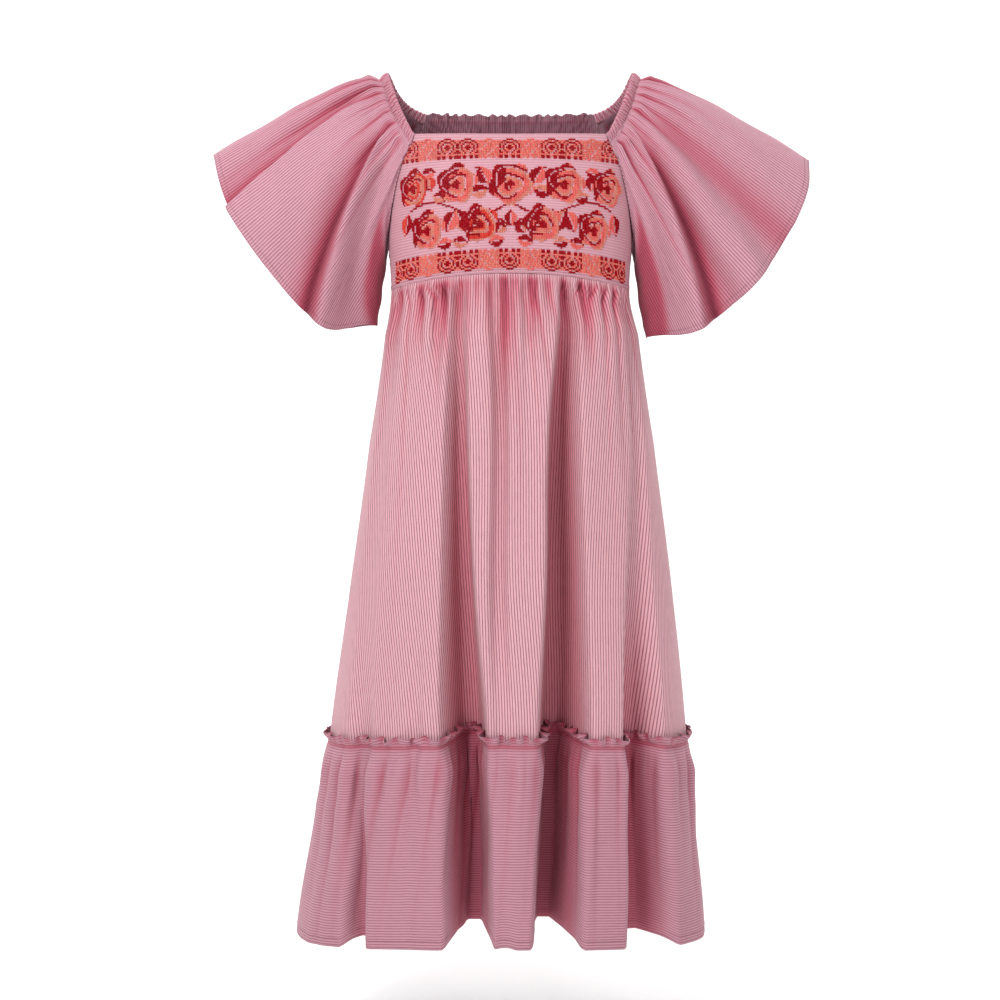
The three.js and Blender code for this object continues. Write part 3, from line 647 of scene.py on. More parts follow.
def ruffle_surface(side, salt, rows, columns):
    """The ruffle's grid of points, its place on the flat cut, and the painted shade of each point in the folds,
    gathers and heading.
    """
    drops = -FRILL + (RUFFLE_LENGTH + FRILL) * np.linspace(0, 1, rows) ** 1.3
    share = np.linspace(0, 1, columns + 1)
    edge = to_edge(share)
    calm = smooth(0, 0.02, edge)
    waves = RUFFLE_GATHERS[side] * 1.7
    points, cut, painted_shade = [], [], []
    for drop in drops:
        row = body_row(side, SKIRT_LENGTH + drop, columns)
        under = max(drop, 0)
        rise = 0.1 + 0.9 * smooth(0, 42, under)
        wide, wide_crease_shade = gathers_at(share, RUFFLE_GATHERS[side], salt, under, rise, fade=120, high=9)
        fine, fine_crease_shade = gathers_at(share, RUFFLE_GATHERS[side] * 2.2, salt + 5, under, rise, fade=38, high=3.4)
        over = smooth(0, FRILL, -drop)
        frill = np.sin(share * waves * 2 * math.pi + 2.6 * np.sin(share * 31 + salt) + 0.5 * over)
        frill = signed_power(frill, 0.75) * (0.55 + 0.9 * vary(np.floor(share * waves), salt + 2))
        frill = (frill + 0.4 * np.sin(share * 410 + salt)) * calm
        pinch = math.exp(-((drop / 3.0) ** 2))
        swell = wide + fine + SEAM + CLOTH + 0.4 + over * (4.2 + 3.8 * frill) - 0.8 * pinch
        row["at"][:, 2] += over * (2.2 * np.cos(share * 173 + salt) * calm - 1.2 * frill)
        row["at"][:, 2] += HEM_CORNER * smooth(0.55, 1, drop / RUFFLE_LENGTH) * (1 - np.exp(-row["inward"] / 9))
        drift = np.sin(share * 41 + under / 60 + salt) * np.sin(under / 75 + share * 17)
        swell += 2.0 * smooth(30, 120, under) * drift * smooth(0, 0.06, edge)
        points.append(row["at"] + row["out"] * swell[:, None])
        # The ruffle is cut across the stripes
        cut.append(stacked(-drop, row["stripes"]))
        # Painted shade: in the fold valleys, between the gathers, at the pinched seam and in the heading's
        # troughs
        depth = 0.75 * smooth(5, 44, row["inward"]) + 0.8 * wide_crease_shade + 0.5 * fine_crease_shade + 0.8 * pinch
        depth += over * 0.8 * smooth(0.5, -0.8, frill)
        painted_shade.append(clamp(depth, 0, 1))
    return np.array(points), np.array(cut), np.array(painted_shade)


def make_ruffle(side, salt, rows, columns):
    points, cut, painted_shade = ruffle_surface(side, salt, rows, columns)
    sides = (RUFFLE_COTTON_SHADED, COTTON_INSIDE_SHADED)
    piece = cloth_grid("ruffle_%s_cloth" % side, points, cut, sides, outward=from_axis, painted_shade=painted_shade)
    return worn(piece, "ruffle_" + side), points


# ---------------------------------------------------------------- bodice

RAGLAN = {
    "front": ((-240, -210, -180, -135, -93), (1, 0.972, 0.945, 0.89, 0.79)),
    "back": ((-240, -205, -170, -110, -40), (1, 0.965, 0.93, 0.84, 0.725)),
}
ROW_DROP = {
    "front": ((-298, -240, -150, -93), (18, 13, 7, -3)),
    "back": ((-298, -170, -47), (6, 3, 0)),
}


def raglan_across(side, z):
    return np.where(np.asarray(z) <= UNDERARM_Z, 1.0, column(*RAGLAN[side], z))


def bodice_row(side, end_z, columns):
    """A row of the bodice between its raglan or side seams, with the outward normal in plan."""
    drop = column(*ROW_DROP[side], end_z)
    reach = float(raglan_across(side, end_z))
    share = share_across(TORSO_POWER, reach) * np.linspace(-1, 1, 241)
    across = ring_point(torso_level(end_z), side, share)[2]
    z = end_z + drop * (1 - (across / reach) ** 2)
    x, y, _ = ring_point(torso_level(z), side, share)
    out_x, out_y = plan_normals(x, y)
    along = arcs(x, y)
    even = np.linspace(0, along[-1], columns + 1)
    x, y, z, out_x, out_y = (np.interp(even, along, v) for v in (x, y, z, out_x, out_y))
    if end_z <= UNDERARM_Z:
        y[[0, -1]] = -SEAM / 2 if side == "front" else SEAM / 2
    return x, y, z, out_x, out_y, even


def yoke_surface(rows, columns):
    """The yoke's grid, with its distance across and down at each point."""
    points, cut = [], []
    middle = columns // 2
    down = 0
    for end_z in np.linspace(NECK_CORNER_Z["front"], BODICE_FOOT_Z, rows):
        x, y, z, out_x, out_y, along = bodice_row("front", end_z, columns)
        share = np.linspace(0, 1, columns + 1)
        soft = 0.5 * np.sin(share * 23 + end_z / 21) * np.sin(end_z / 17 + share * 5)
        out = soft * smooth(0, 0.08, to_edge(share))
        points.append(stacked(x + out_x * out, y + out_y * out, z))
        if len(points) > 1:
            down += np.linalg.norm(points[-1][middle] - points[-2][middle])
        cut.append(stacked(along - along[middle], -down))
    return np.array(points), np.array(cut)


def make_yoke(rows, columns):
    points, cut = yoke_surface(rows, columns)
    sides = (YOKE_CLOTH, COTTON_INSIDE_SHADED)
    piece = cloth_grid("yoke_cloth", points, cut[..., ::-1], sides, outward=lambda p: (0, -1, 0))
    return worn(piece, "yoke_front"), points, cut


BACK_RIBS = 58
BACK_FRILL = 9  # height of the frill above the topmost row of elastic
ELASTIC_ROWS = 11  # millimetres between two rows of elastic


def make_back(rows, columns):
    """The shirred back: fine upright gathers pinched by rows of elastic, with a frill above the topmost."""
    points, cut, painted_shade = [], [], []
    share = np.linspace(0, 1, columns + 1)
    edge = to_edge(share)
    calm = smooth(0, 0.05, edge)
    turns = 2 * math.pi * share
    for end_z in np.linspace(NECK_CORNER_Z["back"], BODICE_FOOT_Z, rows):
        x, y, z, out_x, out_y, along = bodice_row("back", end_z, columns)
        down = NECK_CORNER_Z["back"] - end_z
        pinch = abs(math.sin(math.pi * (down - BACK_FRILL) / ELASTIC_ROWS)) ** 0.7
        rib = share * BACK_RIBS + 0.3 * np.sin(share * 47 + down / 60)
        size = 0.6 + 0.8 * vary(np.floor(rib), 3)
        crest = np.abs(np.sin(math.pi * rib)) ** 0.9
        swell = (0.35 + 0.65 * pinch) * 2.4 * size * crest
        swell += 0.5 * np.sin(rib * 2 * math.pi * 2.3 + down / 5) * pinch
        frill = smooth(BACK_FRILL, 0, down)
        curl = np.sin(turns * 17 + 2.2 * np.sin(share * 29)) + 0.4 * np.sin(turns * 39)
        swell += frill * (3.2 + 3.4 * curl)
        z = z + frill * calm * (2.2 + 1.6 * np.sin(turns * 15 + 1.7 * np.sin(share * 23)))
        points.append(stacked(x + out_x * swell * calm, y + out_y * swell * calm, z))
        cut.append(stacked((along - along[columns // 2]) * 1.15, -down))
        # Painted shade between the ribs and in the pinches of the elastic rows
        depth = 0.5 * size * (1 - crest) ** 1.4 + 0.5 * (1 - pinch) ** 2 * (1 - frill)
        painted_shade.append(clamp(depth, 0, 1) * calm)
    points, cut, painted_shade = np.array(points), np.array(cut), np.array(painted_shade)
    sides = (COTTON, COTTON_INSIDE_SHADED)
    return worn(
        cloth_grid("back_cloth", points, cut, sides, outward=lambda p: (0, 1, 0), painted_shade=painted_shade), "bodice_back"
    )


# ---------------------------------------------------------------- sleeves and casings

# Columns of the source's sleeve along the neck edge and down each raglan seam: they fix the seam's share
NECK_COLUMNS = 48
RAGLAN_COLUMNS = 5
RAGLAN_SHARE = RAGLAN_COLUMNS / (NECK_COLUMNS + 2 * RAGLAN_COLUMNS)
SHOULDER_MIDDLE = np.array([60.0, 5, -120])
SLEEVE_MIDDLE = np.array([270.0, 0, -200])
NECK_EDGE = 330  # length of the neck edge over one shoulder
CORNER_TURN = 0.16  # share of the neck edge over which the casing turns to meet the yoke
UNDERARM_STAND = 2.4
HEM_DEPTH = {"front": 64, "back": 60}
FLANK = 12  # how far the sleeve's sides swell to the front and the back
SLEEVE_GATHERS = 16
SOLID_WALL = 1.6  # wall of the solid under the cloth
PLEAT_CLIMB = 0.017  # share of the ring over which a pleat climbs
PLEAT_DIP = 0.032  # and over which the cloth sinks before it
TUCK = 4  # how far the sleeve's edge runs up under the casing
LAP = 2.6  # how far the sleeve and the casing lap over the bodice's edge
LAP_STAND = 0.9
# Places run from 0 at the underarm by way of the front to 1. A pair is a value at the neck and one at the hem.
# Pleats have a line, a height and the share over which they fall again. Rolls have a middle, a half width and a
# height, and hollows a line, a half width and a depth of painted shade. The lee is the share beside the body
# painted in shade.
SLEEVES = {
    "right": {
        "inner": (185, 0, -362),
        "tip": (407, 6, -122),
        "bow": ((0, 0.125, 0.25, 0.5, 0.75, 0.875, 1), (0, 32, 51, 55, 41, 25, 0)),
        "arch": 14,
        "pleats": (((0.235, 0.12), (14, 34), 0.11),),
        "rolls": (
            ((0.27, 0.225), 0.065, (8, 15)),
            ((0.42, 0.43), 0.09, (8, 10)),
            ((0.62, 0.62), 0.055, (12, 20)),
            ((0.76, 0.76), 0.05, (10, 26)),
            ((0.87, 0.87), 0.04, (8, 24)),
        ),
        "hollows": (((0.33, 0.335), 0.04, 0.7), ((0.2, 0.17), 0.03, 0.25)),
        "painted_lee": (0.08, 0.04),
    },
    "left": {
        "inner": (183, 0, -345),
        "tip": (404, 6, -116),
        "bow": ((0, 0.125, 0.25, 0.5, 0.75, 0.875, 1), (0, 44, 56, 50, 37, 21, 0)),
        "arch": 11,
        "pleats": (((0.245, 0.115), (16, 34), 0.1), ((0.42, 0.4), (12, 16), 0.24)),
        "rolls": (
            ((0.49, 0.49), 0.05, (5, 3)),
            ((0.6, 0.6), 0.05, (10, 18)),
            ((0.73, 0.73), 0.055, (12, 28)),
            ((0.87, 0.87), 0.04, (8, 22)),
        ),
        "hollows": (((0.44, 0.43), 0.035, 0.2), ((0.29, 0.15), 0.04, 0.25)),
        "painted_lee": (0.085, 0.012),
    },
}


def raglan_point(side, z):
    """A point on the sleeve's side of a raglan seam at +X, the way along the bodice and the normal."""
    level = torso_level(z)
    facing = 1 if side == "front" else -1
    share = share_across(TORSO_POWER, float(raglan_across(side, z))) * facing
    p = np.array(ring_point(level, side, share)[:2], float)
    q = np.array(ring_point(level, side, share * 0.98)[:2], float)
    away = np.array([*unit(p - q), 0])
    normal = np.array([away[1] * facing, -away[0] * facing, 0])
    return np.array([*p, z]) + away * 0.5, away, normal


def neck_curve():
    """The neck edge over the shoulder at +X: evenly spaced points on a smooth closed-form curve."""
    knots = np.array(
        [
            raglan_point("front", NECK_CORNER_Z["front"])[0],
            (151, -36, -46),
            (165, -8, -5),
            (164, 18, -3),
            (153, 46, -24),
            (138, 62, -38),
            raglan_point("back", NECK_CORNER_Z["back"])[0],
        ]
    )
    # A centripetal curve through the knots, as the source has it
    start, end = 2 * knots[0] - knots[1], 2 * knots[-1] - knots[-2]
    padded = np.vstack([start, knots, end])
    points = []
    for i in range(1, len(padded) - 2):
        p0, p1, p2, p3 = padded[i - 1 : i + 3]
        d0, d1, d2 = (max(1e-4, np.linalg.norm(b - a) ** 0.5) for a, b in ((p0, p1), (p1, p2), (p2, p3)))
        t1 = ((p1 - p0) / d0 - (p2 - p0) / (d0 + d1) + (p2 - p1) / d1) * d1
        t2 = ((p2 - p1) / d1 - (p3 - p1) / (d1 + d2) + (p3 - p2) / d2) * d1
        t = np.linspace(0, 1, 60)[:, None]
        points.append(
            p1 + t1 * t + (3 * (p2 - p1) - 2 * t1 - t2) * t**2 + (2 * (p1 - p2) + t1 + t2) * t**3
        )
    points = np.vstack([points[0]] + [p[1:] for p in points[1:]])
    along = np.concatenate([[0], np.cumsum(np.linalg.norm(np.diff(points, axis=0), axis=1))])
    return points, along / along[-1]


NECK_POINTS, NECK_SHARES = neck_curve()


def neck_at(share):
    share = np.clip(share, 0, 1)
    return np.stack([np.interp(share, NECK_SHARES, NECK_POINTS[:, k]) for k in range(3)], axis=-1)


def casing_frame(share):
    """The casing's frame at shares of the neck edge: its points, the way down the sleeve and the way out."""
    share = np.atleast_1d(share)
    at = neck_at(share)
    along = unit(neck_at(share + 0.004) - neck_at(share - 0.004))
    out = unit(at - SHOULDER_MIDDLE)
    down = unit(np.cross(along, out))

    def seam_way(side):
        top = raglan_point(side, SLEEVE_TOP_Z[side])[0]
        return unit(top - raglan_point(side, NECK_CORNER_Z[side])[0])

    turn = (1 - smooth(0, CORNER_TURN, share))[:, None]
    down = mix(down, seam_way("front"), turn)
    turn = smooth(1 - CORNER_TURN, 1, share)[:, None]
    down = unit(mix(down, seam_way("back"), turn))
    return at, down, unit(np.cross(down, along))


def armhole(t):
    """A sleeve's upper edge at shares of the way round from the underarm, with its normals."""
    at = np.empty((len(t), 3))
    normal = np.empty((len(t), 3))
    away = np.zeros((len(t), 3))
    neck = (to_edge(t) / RAGLAN_SHARE) > 1
    edge, down, outward = casing_frame((t[neck] - RAGLAN_SHARE) / (1 - 2 * RAGLAN_SHARE))
    at[neck] = edge + down * (CASING_WIDTH - TUCK) - outward * 0.3
    normal[neck] = outward
    under = np.array([float(torso_level(UNDERARM_Z)["half"]) + SEAM + 1.6, 0, UNDERARM_Z])
    for i in np.flatnonzero(~neck):
        side = "front" if t[i] < 0.5 else "back"
        share = min(t[i], 1 - t[i]) / RAGLAN_SHARE
        z = mix(UNDERARM_Z, SLEEVE_TOP_Z[side], share)
        place, way, out = raglan_point(side, z)
        seam_way = unit(raglan_point(side, z + 1)[0] - place)
        place = place + out * (LAP_STAND + UNDERARM_STAND * (1 - share) ** 2) - way * LAP
        at_underarm = 1 - smooth(0, 1 / RAGLAN_COLUMNS, share)
        at[i] = mix(place, under, at_underarm)
        normal[i] = unit(mix(out, np.array([1.0, 0, 0]), at_underarm))
        away[i] = unit(way - seam_way * way.dot(seam_way))
    return at, normal, away


def sleeve_hem(sleeve, t):
    along = 1 - np.abs(1 - 2 * t)
    inner, tip = (np.array(sleeve[key], float) for key in ("inner", "tip"))
    chord = tip - inner
    out = unit(np.array([chord[2], 0, -chord[0]]))
    p = inner + along[:, None] * chord + out * column(*sleeve["bow"], along)[:, None]
    depth = np.where(t < 0.5, -HEM_DEPTH["front"], HEM_DEPTH["back"])
    p[:, 1] += depth * np.sin(math.pi * along) ** 0.6
    return p


def kept_clear(p, margin):
    """Points kept at least this far outside the body of the dress."""
    empire = HEIGHTS["front"]["empire"][0] - HEIGHTS["front"]["empire"][1]
    z = p[..., 2]
    upper = z > empire
    torso = torso_level(z)
    fall = np.maximum(0, empire - z)
    lower = skirt_level(fall)
    half, centre, power, front, back = (
        np.where(upper, torso[key], lower[key]) for key in ("half", "centre", "power", "front", "back")
    )
    depth = np.where(p[..., 1] < 0, front, back)
    u, v = (p[..., 0] - centre) / half, p[..., 1] / depth
    reach = np.maximum(1e-6, (np.abs(u) ** power + np.abs(v) ** power) ** (1 / power))
    slope_x = signed_power(u / reach, power - 1) / half
    slope_y = signed_power(v / reach, power - 1) / depth
    slope = np.hypot(slope_x, slope_y)
    move = np.maximum(0, margin - (reach - 1) / slope)
    p = p.copy()
    p[..., 0] += slope_x / slope * move
    p[..., 1] += slope_y / slope * move
    return p


def sleeve_surface(sleeve, salt, rows, columns):
    """A sleeve's grid from the armhole to the hem, once round from the underarm by way of the front."""
    t = np.linspace(0, 1, columns + 1)
    s = np.linspace(0, 1, rows) ** 1.15
    at, edge_normal, away = armhole(np.where(t == 1, 0, t))
    hem = sleeve_hem(sleeve, t)
    S = s[:, None]
    p = at[None] + (hem - at)[None] * S[..., None]
    p[..., 2] += sleeve["arch"] * np.sin(math.pi * t) ** 4 * np.sin(math.pi * S**0.7)
    flank = np.sin(2 * math.pi * to_edge(t)) ** 2
    p[..., 1] += np.where(t < 0.5, -1, 1) * FLANK * flank * np.sin(math.pi * S)
    over = np.einsum("ijk,jk->ij", p - at[None], away)
    free = smooth(0.06, 0.2, S)  # where the cloth leaves the armhole's own surface
    p += away[None] * (np.maximum(0, -over) * (1 - free))[..., None]
    # Normals from the grid itself, taken round the ring
    round_way = np.roll(p[:, :-1], -1, axis=1) - np.roll(p[:, :-1], 1, axis=1)
    round_way = np.concatenate([round_way, round_way[:, :1]], axis=1)
    length_way = np.gradient(p, axis=0)
    normal = unit(np.cross(length_way, round_way))
    normal = unit(mix(normal, edge_normal[None], (1 - free)[..., None]))
    relief, shade = sleeve_relief(sleeve, t[None], S)
    gather, crease = sleeve_gathers(t, S, salt)
    stand = SOLID_WALL * free + relief
    outer = p + normal * (gather + stand)[..., None]
    margin = 1.6 + mix(1.5, 7, smooth(0.06, 0.5, S))
    outer[1:] = kept_clear(outer[1:], np.broadcast_to(margin, stand.shape)[1:])
    outer[:, -1] = outer[:, 0]
    # Returned with the points: the painted shade of the pleats, hollows, the body's lee and the gathers' creases
    return outer, clamp(shade + crease, 0, 2)


def sleeve_relief(sleeve, t, s):
    """How far the pleats and rolls stand out from a sleeve's base, and the painted shade of each point beside
    them.

    A pleat dips a little, climbs sharply at its line and falls slowly towards the body."""
    relief, shade = 0, 0
    for line, crest, run in sleeve["pleats"]:
        ahead = mix(*line, s) - t
        high = mix(*crest, s)
        climb = smooth(0, PLEAT_CLIMB, ahead)
        dip = np.where(ahead < 0, np.exp(-((ahead / PLEAT_DIP) ** 2)), 1 - climb)
        relief = relief + high * (climb * (1 - smooth(PLEAT_CLIMB, run, ahead)) - 0.2 * dip)
        # Painted shade in the dip before each pleat and along its line
        line_shade = np.exp(-(((ahead + 0.002) / 0.013) ** 2))
        shade = shade + (0.9 * dip + line_shade) * np.minimum(1, high / 26) ** 1.5
    relief = relief * smooth(0, 0.04, t)
    for at, half, high in sleeve["rolls"]:
        reach = np.abs(t - mix(*at, s)) / half
        relief = relief + mix(*high, s) * (1 - smooth(0.2, 1, reach))
    # Each hollow sinks the cloth a little and is painted with shade by its tone
    for at, half, tone in sleeve["hollows"]:
        hollow = tone * np.exp(-(((t - mix(*at, s)) / half) ** 2))
        relief = relief - 4 * hollow
        shade = shade + hollow
    # Beside the body the cloth is painted darker: painted shade for the dress's own shade
    painted_lee = 1.3 * smooth(-0.012, 0.014, mix(*sleeve["painted_lee"], s) - to_edge(t)) * smooth(0.15, 0.35, s)
    grow = smooth(0.02, 0.3, s)
    return relief * grow, np.maximum(shade * grow, painted_lee)


def sleeve_gathers(t, s, salt):
    """Gathers below the casing: their outward swell, and the painted shade for how far each point lies down in a
    crease.
    """
    share = (t - RAGLAN_SHARE) / (1 - 2 * RAGLAN_SHARE)
    calm = smooth(0, 0.06, to_edge(share))
    swell, crease = 0, 0
    for gathers, high, fade, extra in ((SLEEVE_GATHERS, 9.5, 0.3, 0), (SLEEVE_GATHERS * 2.3, 4.5, 0.14, 7)):
        place = share * gathers + 0.3 * np.sin(share * 19 + salt + extra)
        index = np.floor(place)
        size = 0.45 + 1.0 * vary(index, salt + extra)
        length = fade * (0.45 + 1.2 * vary(index, salt + extra + 3))
        crest = np.abs(np.sin(math.pi * place)) ** 0.8
        fading = size * np.exp(-((s / length) ** 1.4)) * (0.12 + 0.88 * smooth(0.01, 0.06, s))
        swell = swell + high * crest * fading
        # The creases between the gathers are painted in shade
        crease = crease + (1.7 if extra == 0 else 1.1) * fading * (1 - crest) ** 1.4
    drift = 1.6 * np.sin(t * 43 + s * 7 + salt) * np.sin(s * 9 + t * 13) * smooth(0.15, 0.5, s)
    return (swell - 3.0 * np.exp(-((s / 0.3) ** 1.4))) * calm + drift, crease * calm


FAN = 0.72  # share of the stripes' course that follows the gathered cloth rather than a straight cut
MIRROR = {"left": (-1, 1, 1), "right": (1, 1, 1)}


def make_sleeve(side, salt, rows, columns):
    points, painted_shade = sleeve_surface(SLEEVES[side], salt, rows, columns)
    # Across the cut: distance round each row from the sleeve's middle line; down it: distance from the neck
    steps = np.linalg.norm(np.diff(points, axis=1), axis=2)
    round_way = np.concatenate([np.zeros((rows, 1)), np.cumsum(steps, axis=1)], axis=1)
    round_way -= round_way[:, columns // 2][:, None]
    fanned = round_way[int(rows * 0.8)]
    round_way = mix(round_way, fanned[None], FAN)
    steady = int(rows * 0.12)
    round_way[:steady] = round_way[steady]
    down = np.concatenate([[0], np.cumsum(np.linalg.norm(np.diff(points[:, columns // 2], axis=0), axis=1))])
    cut = stacked(round_way, -down[:, None])
    mirror = MIRROR[side]
    points = points * mirror
    middle = Vector(SLEEVE_MIDDLE * mirror * MM)
    sides = (SLEEVE_COTTON_SHADED, COTTON_INSIDE_SHADED)
    piece = cloth_grid(
        "sleeve_%s_cloth" % side, points, cut, sides, ring=True, outward=lambda p: p - middle, painted_shade=painted_shade
    )
    return worn(piece, "sleeve_" + side), points


CASING_RIBS = 44
CASING_CLOTH = 0.4  # each of the casing's two layers


def make_casing(side, stations, around):
    """An elastic casing: a flat tube puckered into slanted ribs."""
    share = np.linspace(0, 1, stations + 1)
    at, down, outward = casing_frame(share)
    for end, near in (("front", share), ("back", 1 - share)):
        _, way, out = raglan_point(end, NECK_CORNER_Z[end])
        at = at + (out * LAP_STAND - way * LAP) * (1 - smooth(0, 0.03, near))[:, None]
    angle = np.linspace(0, 2 * math.pi, around + 1)
    # A flat oval: the angle runs over the outer face, round the lower edge and back along the inner face
    drop = CASING_WIDTH * (0.5 - 0.5 * signed_power(np.cos(angle), 0.8))
    bulge = signed_power(np.sin(angle), 0.7)
    rib = share[:, None] * CASING_RIBS + 0.7 * (drop / CASING_WIDTH)[None] + 0.5 * np.sin(share * 31)[:, None]
    size = 0.55 + 0.9 * vary(np.floor(rib), 9)
    crest = np.abs(np.sin(math.pi * rib)) ** 0.8
    thick = 1.0 + 2.5 * size * crest
    ends = smooth(0, 0.02, to_edge(share))[:, None]
    thick = mix(1.2, thick, ends)
    frilled = 1.1 * (crest - 0.5) * ends
    # Painted shade in the troughs between the ribs
    painted_shade = 1.1 * size * (1 - crest) ** 1.2 * ends
    points = (
        at[:, None]
        + down[:, None] * (drop[None] + frilled * (1 - drop / CASING_WIDTH)[None])[..., None]
        + outward[:, None] * (bulge[None] * thick)[..., None]
    )
    cut = stacked(NECK_EDGE * share[:, None] * 1.2, -drop[None])
    points = points * MIRROR[side]
    middle = Vector(points[stations // 2, :-1].mean(axis=0) * MM)
    form = {"ring": True, "thick": CASING_CLOTH, "outward": lambda p: p - middle, "painted_shade": painted_shade}
    piece = cloth_grid("casing_%s_cloth" % side, points, cut, (SLEEVE_COTTON_SHADED,), **form)
    return worn(piece, "neck_casing_" + side)


# ---------------------------------------------------------------- embroidery

CELL = 2.3  # one cross stitch, in millimetres
FIELD_COLUMNS = 75  # the chart runs this far to each side of the middle
CHART_ROWS = 82
CHART_EDGE = 2.2  # the stitches stay this far from the seams
STITCH_LIFT = 0.12

# One roundel of the border, which is repeated across, in red or all in coral
ROUNDEL = (
    "....####....",
    "..##....##..",
    ".#..####..#.",
    "#..#....#..#",
    "#.#..##..#.#",
    "#.#.####.#.#",
    "..#..##..#..",
    "#..#....#..#",
    "##..#..#..##",
    "............",
    "##.##..##.##",
    "##.##..##.##",
)


def charted_rose(chart, column_at, row_at, radius, dark, light, pale):
    """A full-blown rose: petals wound round its middle, dark on one side and light on the other."""
    turned = column_at * 0.7 + row_at
    for step in range(-radius - 2, radius + 3):
        for fall in range(-radius - 2, radius + 3):
            distance = math.hypot(step, fall)
            angle = math.atan2(fall, step)
            rim = radius * (0.95 + 0.1 * math.cos(5 * angle + turned))
            if distance > rim:
                continue
            turn = distance / radius * 2.3 + 0.16 * math.sin(3 * angle + turned) - angle / (2 * math.pi)
            petal = turn - math.floor(turn)
            if petal < 0.13 and distance > 3:
                continue
            shade = step * 0.8 + fall * 0.35 + 1.5 * math.cos(3 * angle + turned)
            if distance < 2.2 or shade < -0.28 * radius:
                tone = dark
            elif petal < 0.36:
                tone = dark if shade < 0.35 * radius else light
            else:
                tone = light if petal < 0.7 else pale
            chart[row_at + fall, column_at + step] = tone


def charted_leaf(chart, column_at, row_at, length, width, degrees, upper, lower):
    """A leaf that grows from a point: a pointed oval with a bare vein, in one tone on each side of it."""
    way = math.radians(degrees)
    reach = int(length) + 1
    for step in range(-reach, reach + 1):
        for fall in range(-reach, reach + 1):
            out = step * math.cos(way) + fall * math.sin(way)
            side = fall * math.cos(way) - step * math.sin(way)
            if not 0 <= out <= length:
                continue
            half = width * math.sin(math.pi * (out / length) ** 0.85)
            if abs(side) > half or (abs(side) < 0.45 and 1.5 < out < length - 1.5):
                continue
            chart[row_at + fall, column_at + step] = upper if side < 0 else lower


def charted_stem(chart, start, end, sag, tone):
    """A thin curved stem, one stitch wide."""
    steps = 2 * int(max(abs(end[0] - start[0]), abs(end[1] - start[1])))
    for k in range(steps + 1):
        t = k / steps
        column_at = round(mix(start[0], end[0], t))
        row_at = round(mix(start[1], end[1], t) + sag * math.sin(math.pi * t))
        chart.setdefault((row_at, column_at), tone)


def charted_bud(chart, column_at, row_at, degrees, dark, light):
    """A closed bud with its calyx."""
    charted_leaf(chart, column_at, row_at, 8, 3.6, degrees, light, dark)
    for turn in (-50, 50):
        charted_leaf(chart, column_at, row_at, 4, 2.2, degrees + turn, dark, dark)


# One half of the design, which has its mirror image in the other half but for the bright tone.
# Stems have a start, an end and a sag. Leaves have a column, a row, a length, a width, a direction and a tone
# above and below the vein. Roses have a column, a row, a radius and their tones from dark to pale.
STEMS = (((2, 42), (32, 44), 5), ((32, 44), (60, 42), -4), ((12, 28), (20, 20), -2))
LEAVES = (
    (13, 30, 12, 4.6, -66, "red", "coral"),
    (13, 33, 11, 4.2, 14, "salmon", "red"),
    (31, 45, 13, 4.8, 112, "red", "salmon"),
    (32, 45, 13, 4.8, 66, "coral", "red"),
    (46, 32, 10, 4.0, -72, "red", "bright"),
    (45, 35, 9, 3.6, 160, "red", "salmon"),
    (62, 44, 12, 4.4, 75, "red", "bright"),
    (44, 21, 9, 3.4, 8, "coral", "red"),
    (33, 62, 9, 3.4, 170, "red", "salmon"),
    (34, 62, 9, 3.4, 10, "red", "coral"),
    (4, 62, 9, 3.4, 14, "red", "coral"),
)
BUD = (4, 52, 62, "red", "salmon")
ROSES = (
    (31, 29, 12, "red", "coral", "salmon"),
    (58, 29, 11, "red", "salmon", "bright"),
    (18, 53, 11, "red", "bright", "salmon"),
    (49, 54, 11, "red", "coral", "salmon"),
)
BORDER_ROW = 3  # rows of bare cloth outside each border
BORDER_RHYTHM = 3  # every third roundel from the one beside the middle is in coral alone


def embroidery_chart():
    """The whole design: {(row, column): tone}, with the middle of the yoke at column 0."""
    chart = {}
    for side, bright in ((-1, "orange"), (1, "coral")):

        def own(degrees, *tones):
            turned = degrees if side > 0 else 180 - degrees
            return (turned, *(bright if tone == "bright" else tone for tone in tones))

        for (from_column, from_row), (to_column, to_row), sag in STEMS:
            charted_stem(chart, (side * from_column, from_row), (side * to_column, to_row), sag, "red")
        for column_at, row_at, length, width, degrees, *tones in LEAVES:
            charted_leaf(chart, side * column_at, row_at, length, width, *own(degrees, *tones))
        charted_bud(chart, side * BUD[0], BUD[1], *own(*BUD[2:]))
        for column_at, row_at, radius, *tones in ROSES:
            charted_rose(chart, side * column_at, row_at, radius, *own(0, *tones)[1:])
    charted_rose(chart, 0, 30, 13, "red", "coral", "salmon")
    charted_leaf(chart, 0, 46, 9, 3.4, 90, "coral", "red")
    # A border above and, turned over, below
    width = len(ROUNDEL[0])
    for column_at in range(-FIELD_COLUMNS, FIELD_COLUMNS + 1):
        unit_at, place = divmod(column_at + width // 2, width)
        for fall, line in enumerate(ROUNDEL):
            lined = line[place] == "#"
            if not lined and (fall == 0 or fall == len(ROUNDEL) - 1 or not (place + fall) % 7):
                continue
            tone = "coral" if (place * 3 + fall + unit_at) % 5 > 1 else "salmon"
            if lined and abs(unit_at) % BORDER_RHYTHM != 1:
                tone = "red"
            chart[BORDER_ROW + fall, column_at] = tone
            chart[CHART_ROWS - BORDER_ROW - fall, column_at] = tone
    return chart


THREAD_ROUND = 0.27  # half a thread's thickness, for a thread one unit long
CROSS_LONG = 1.28


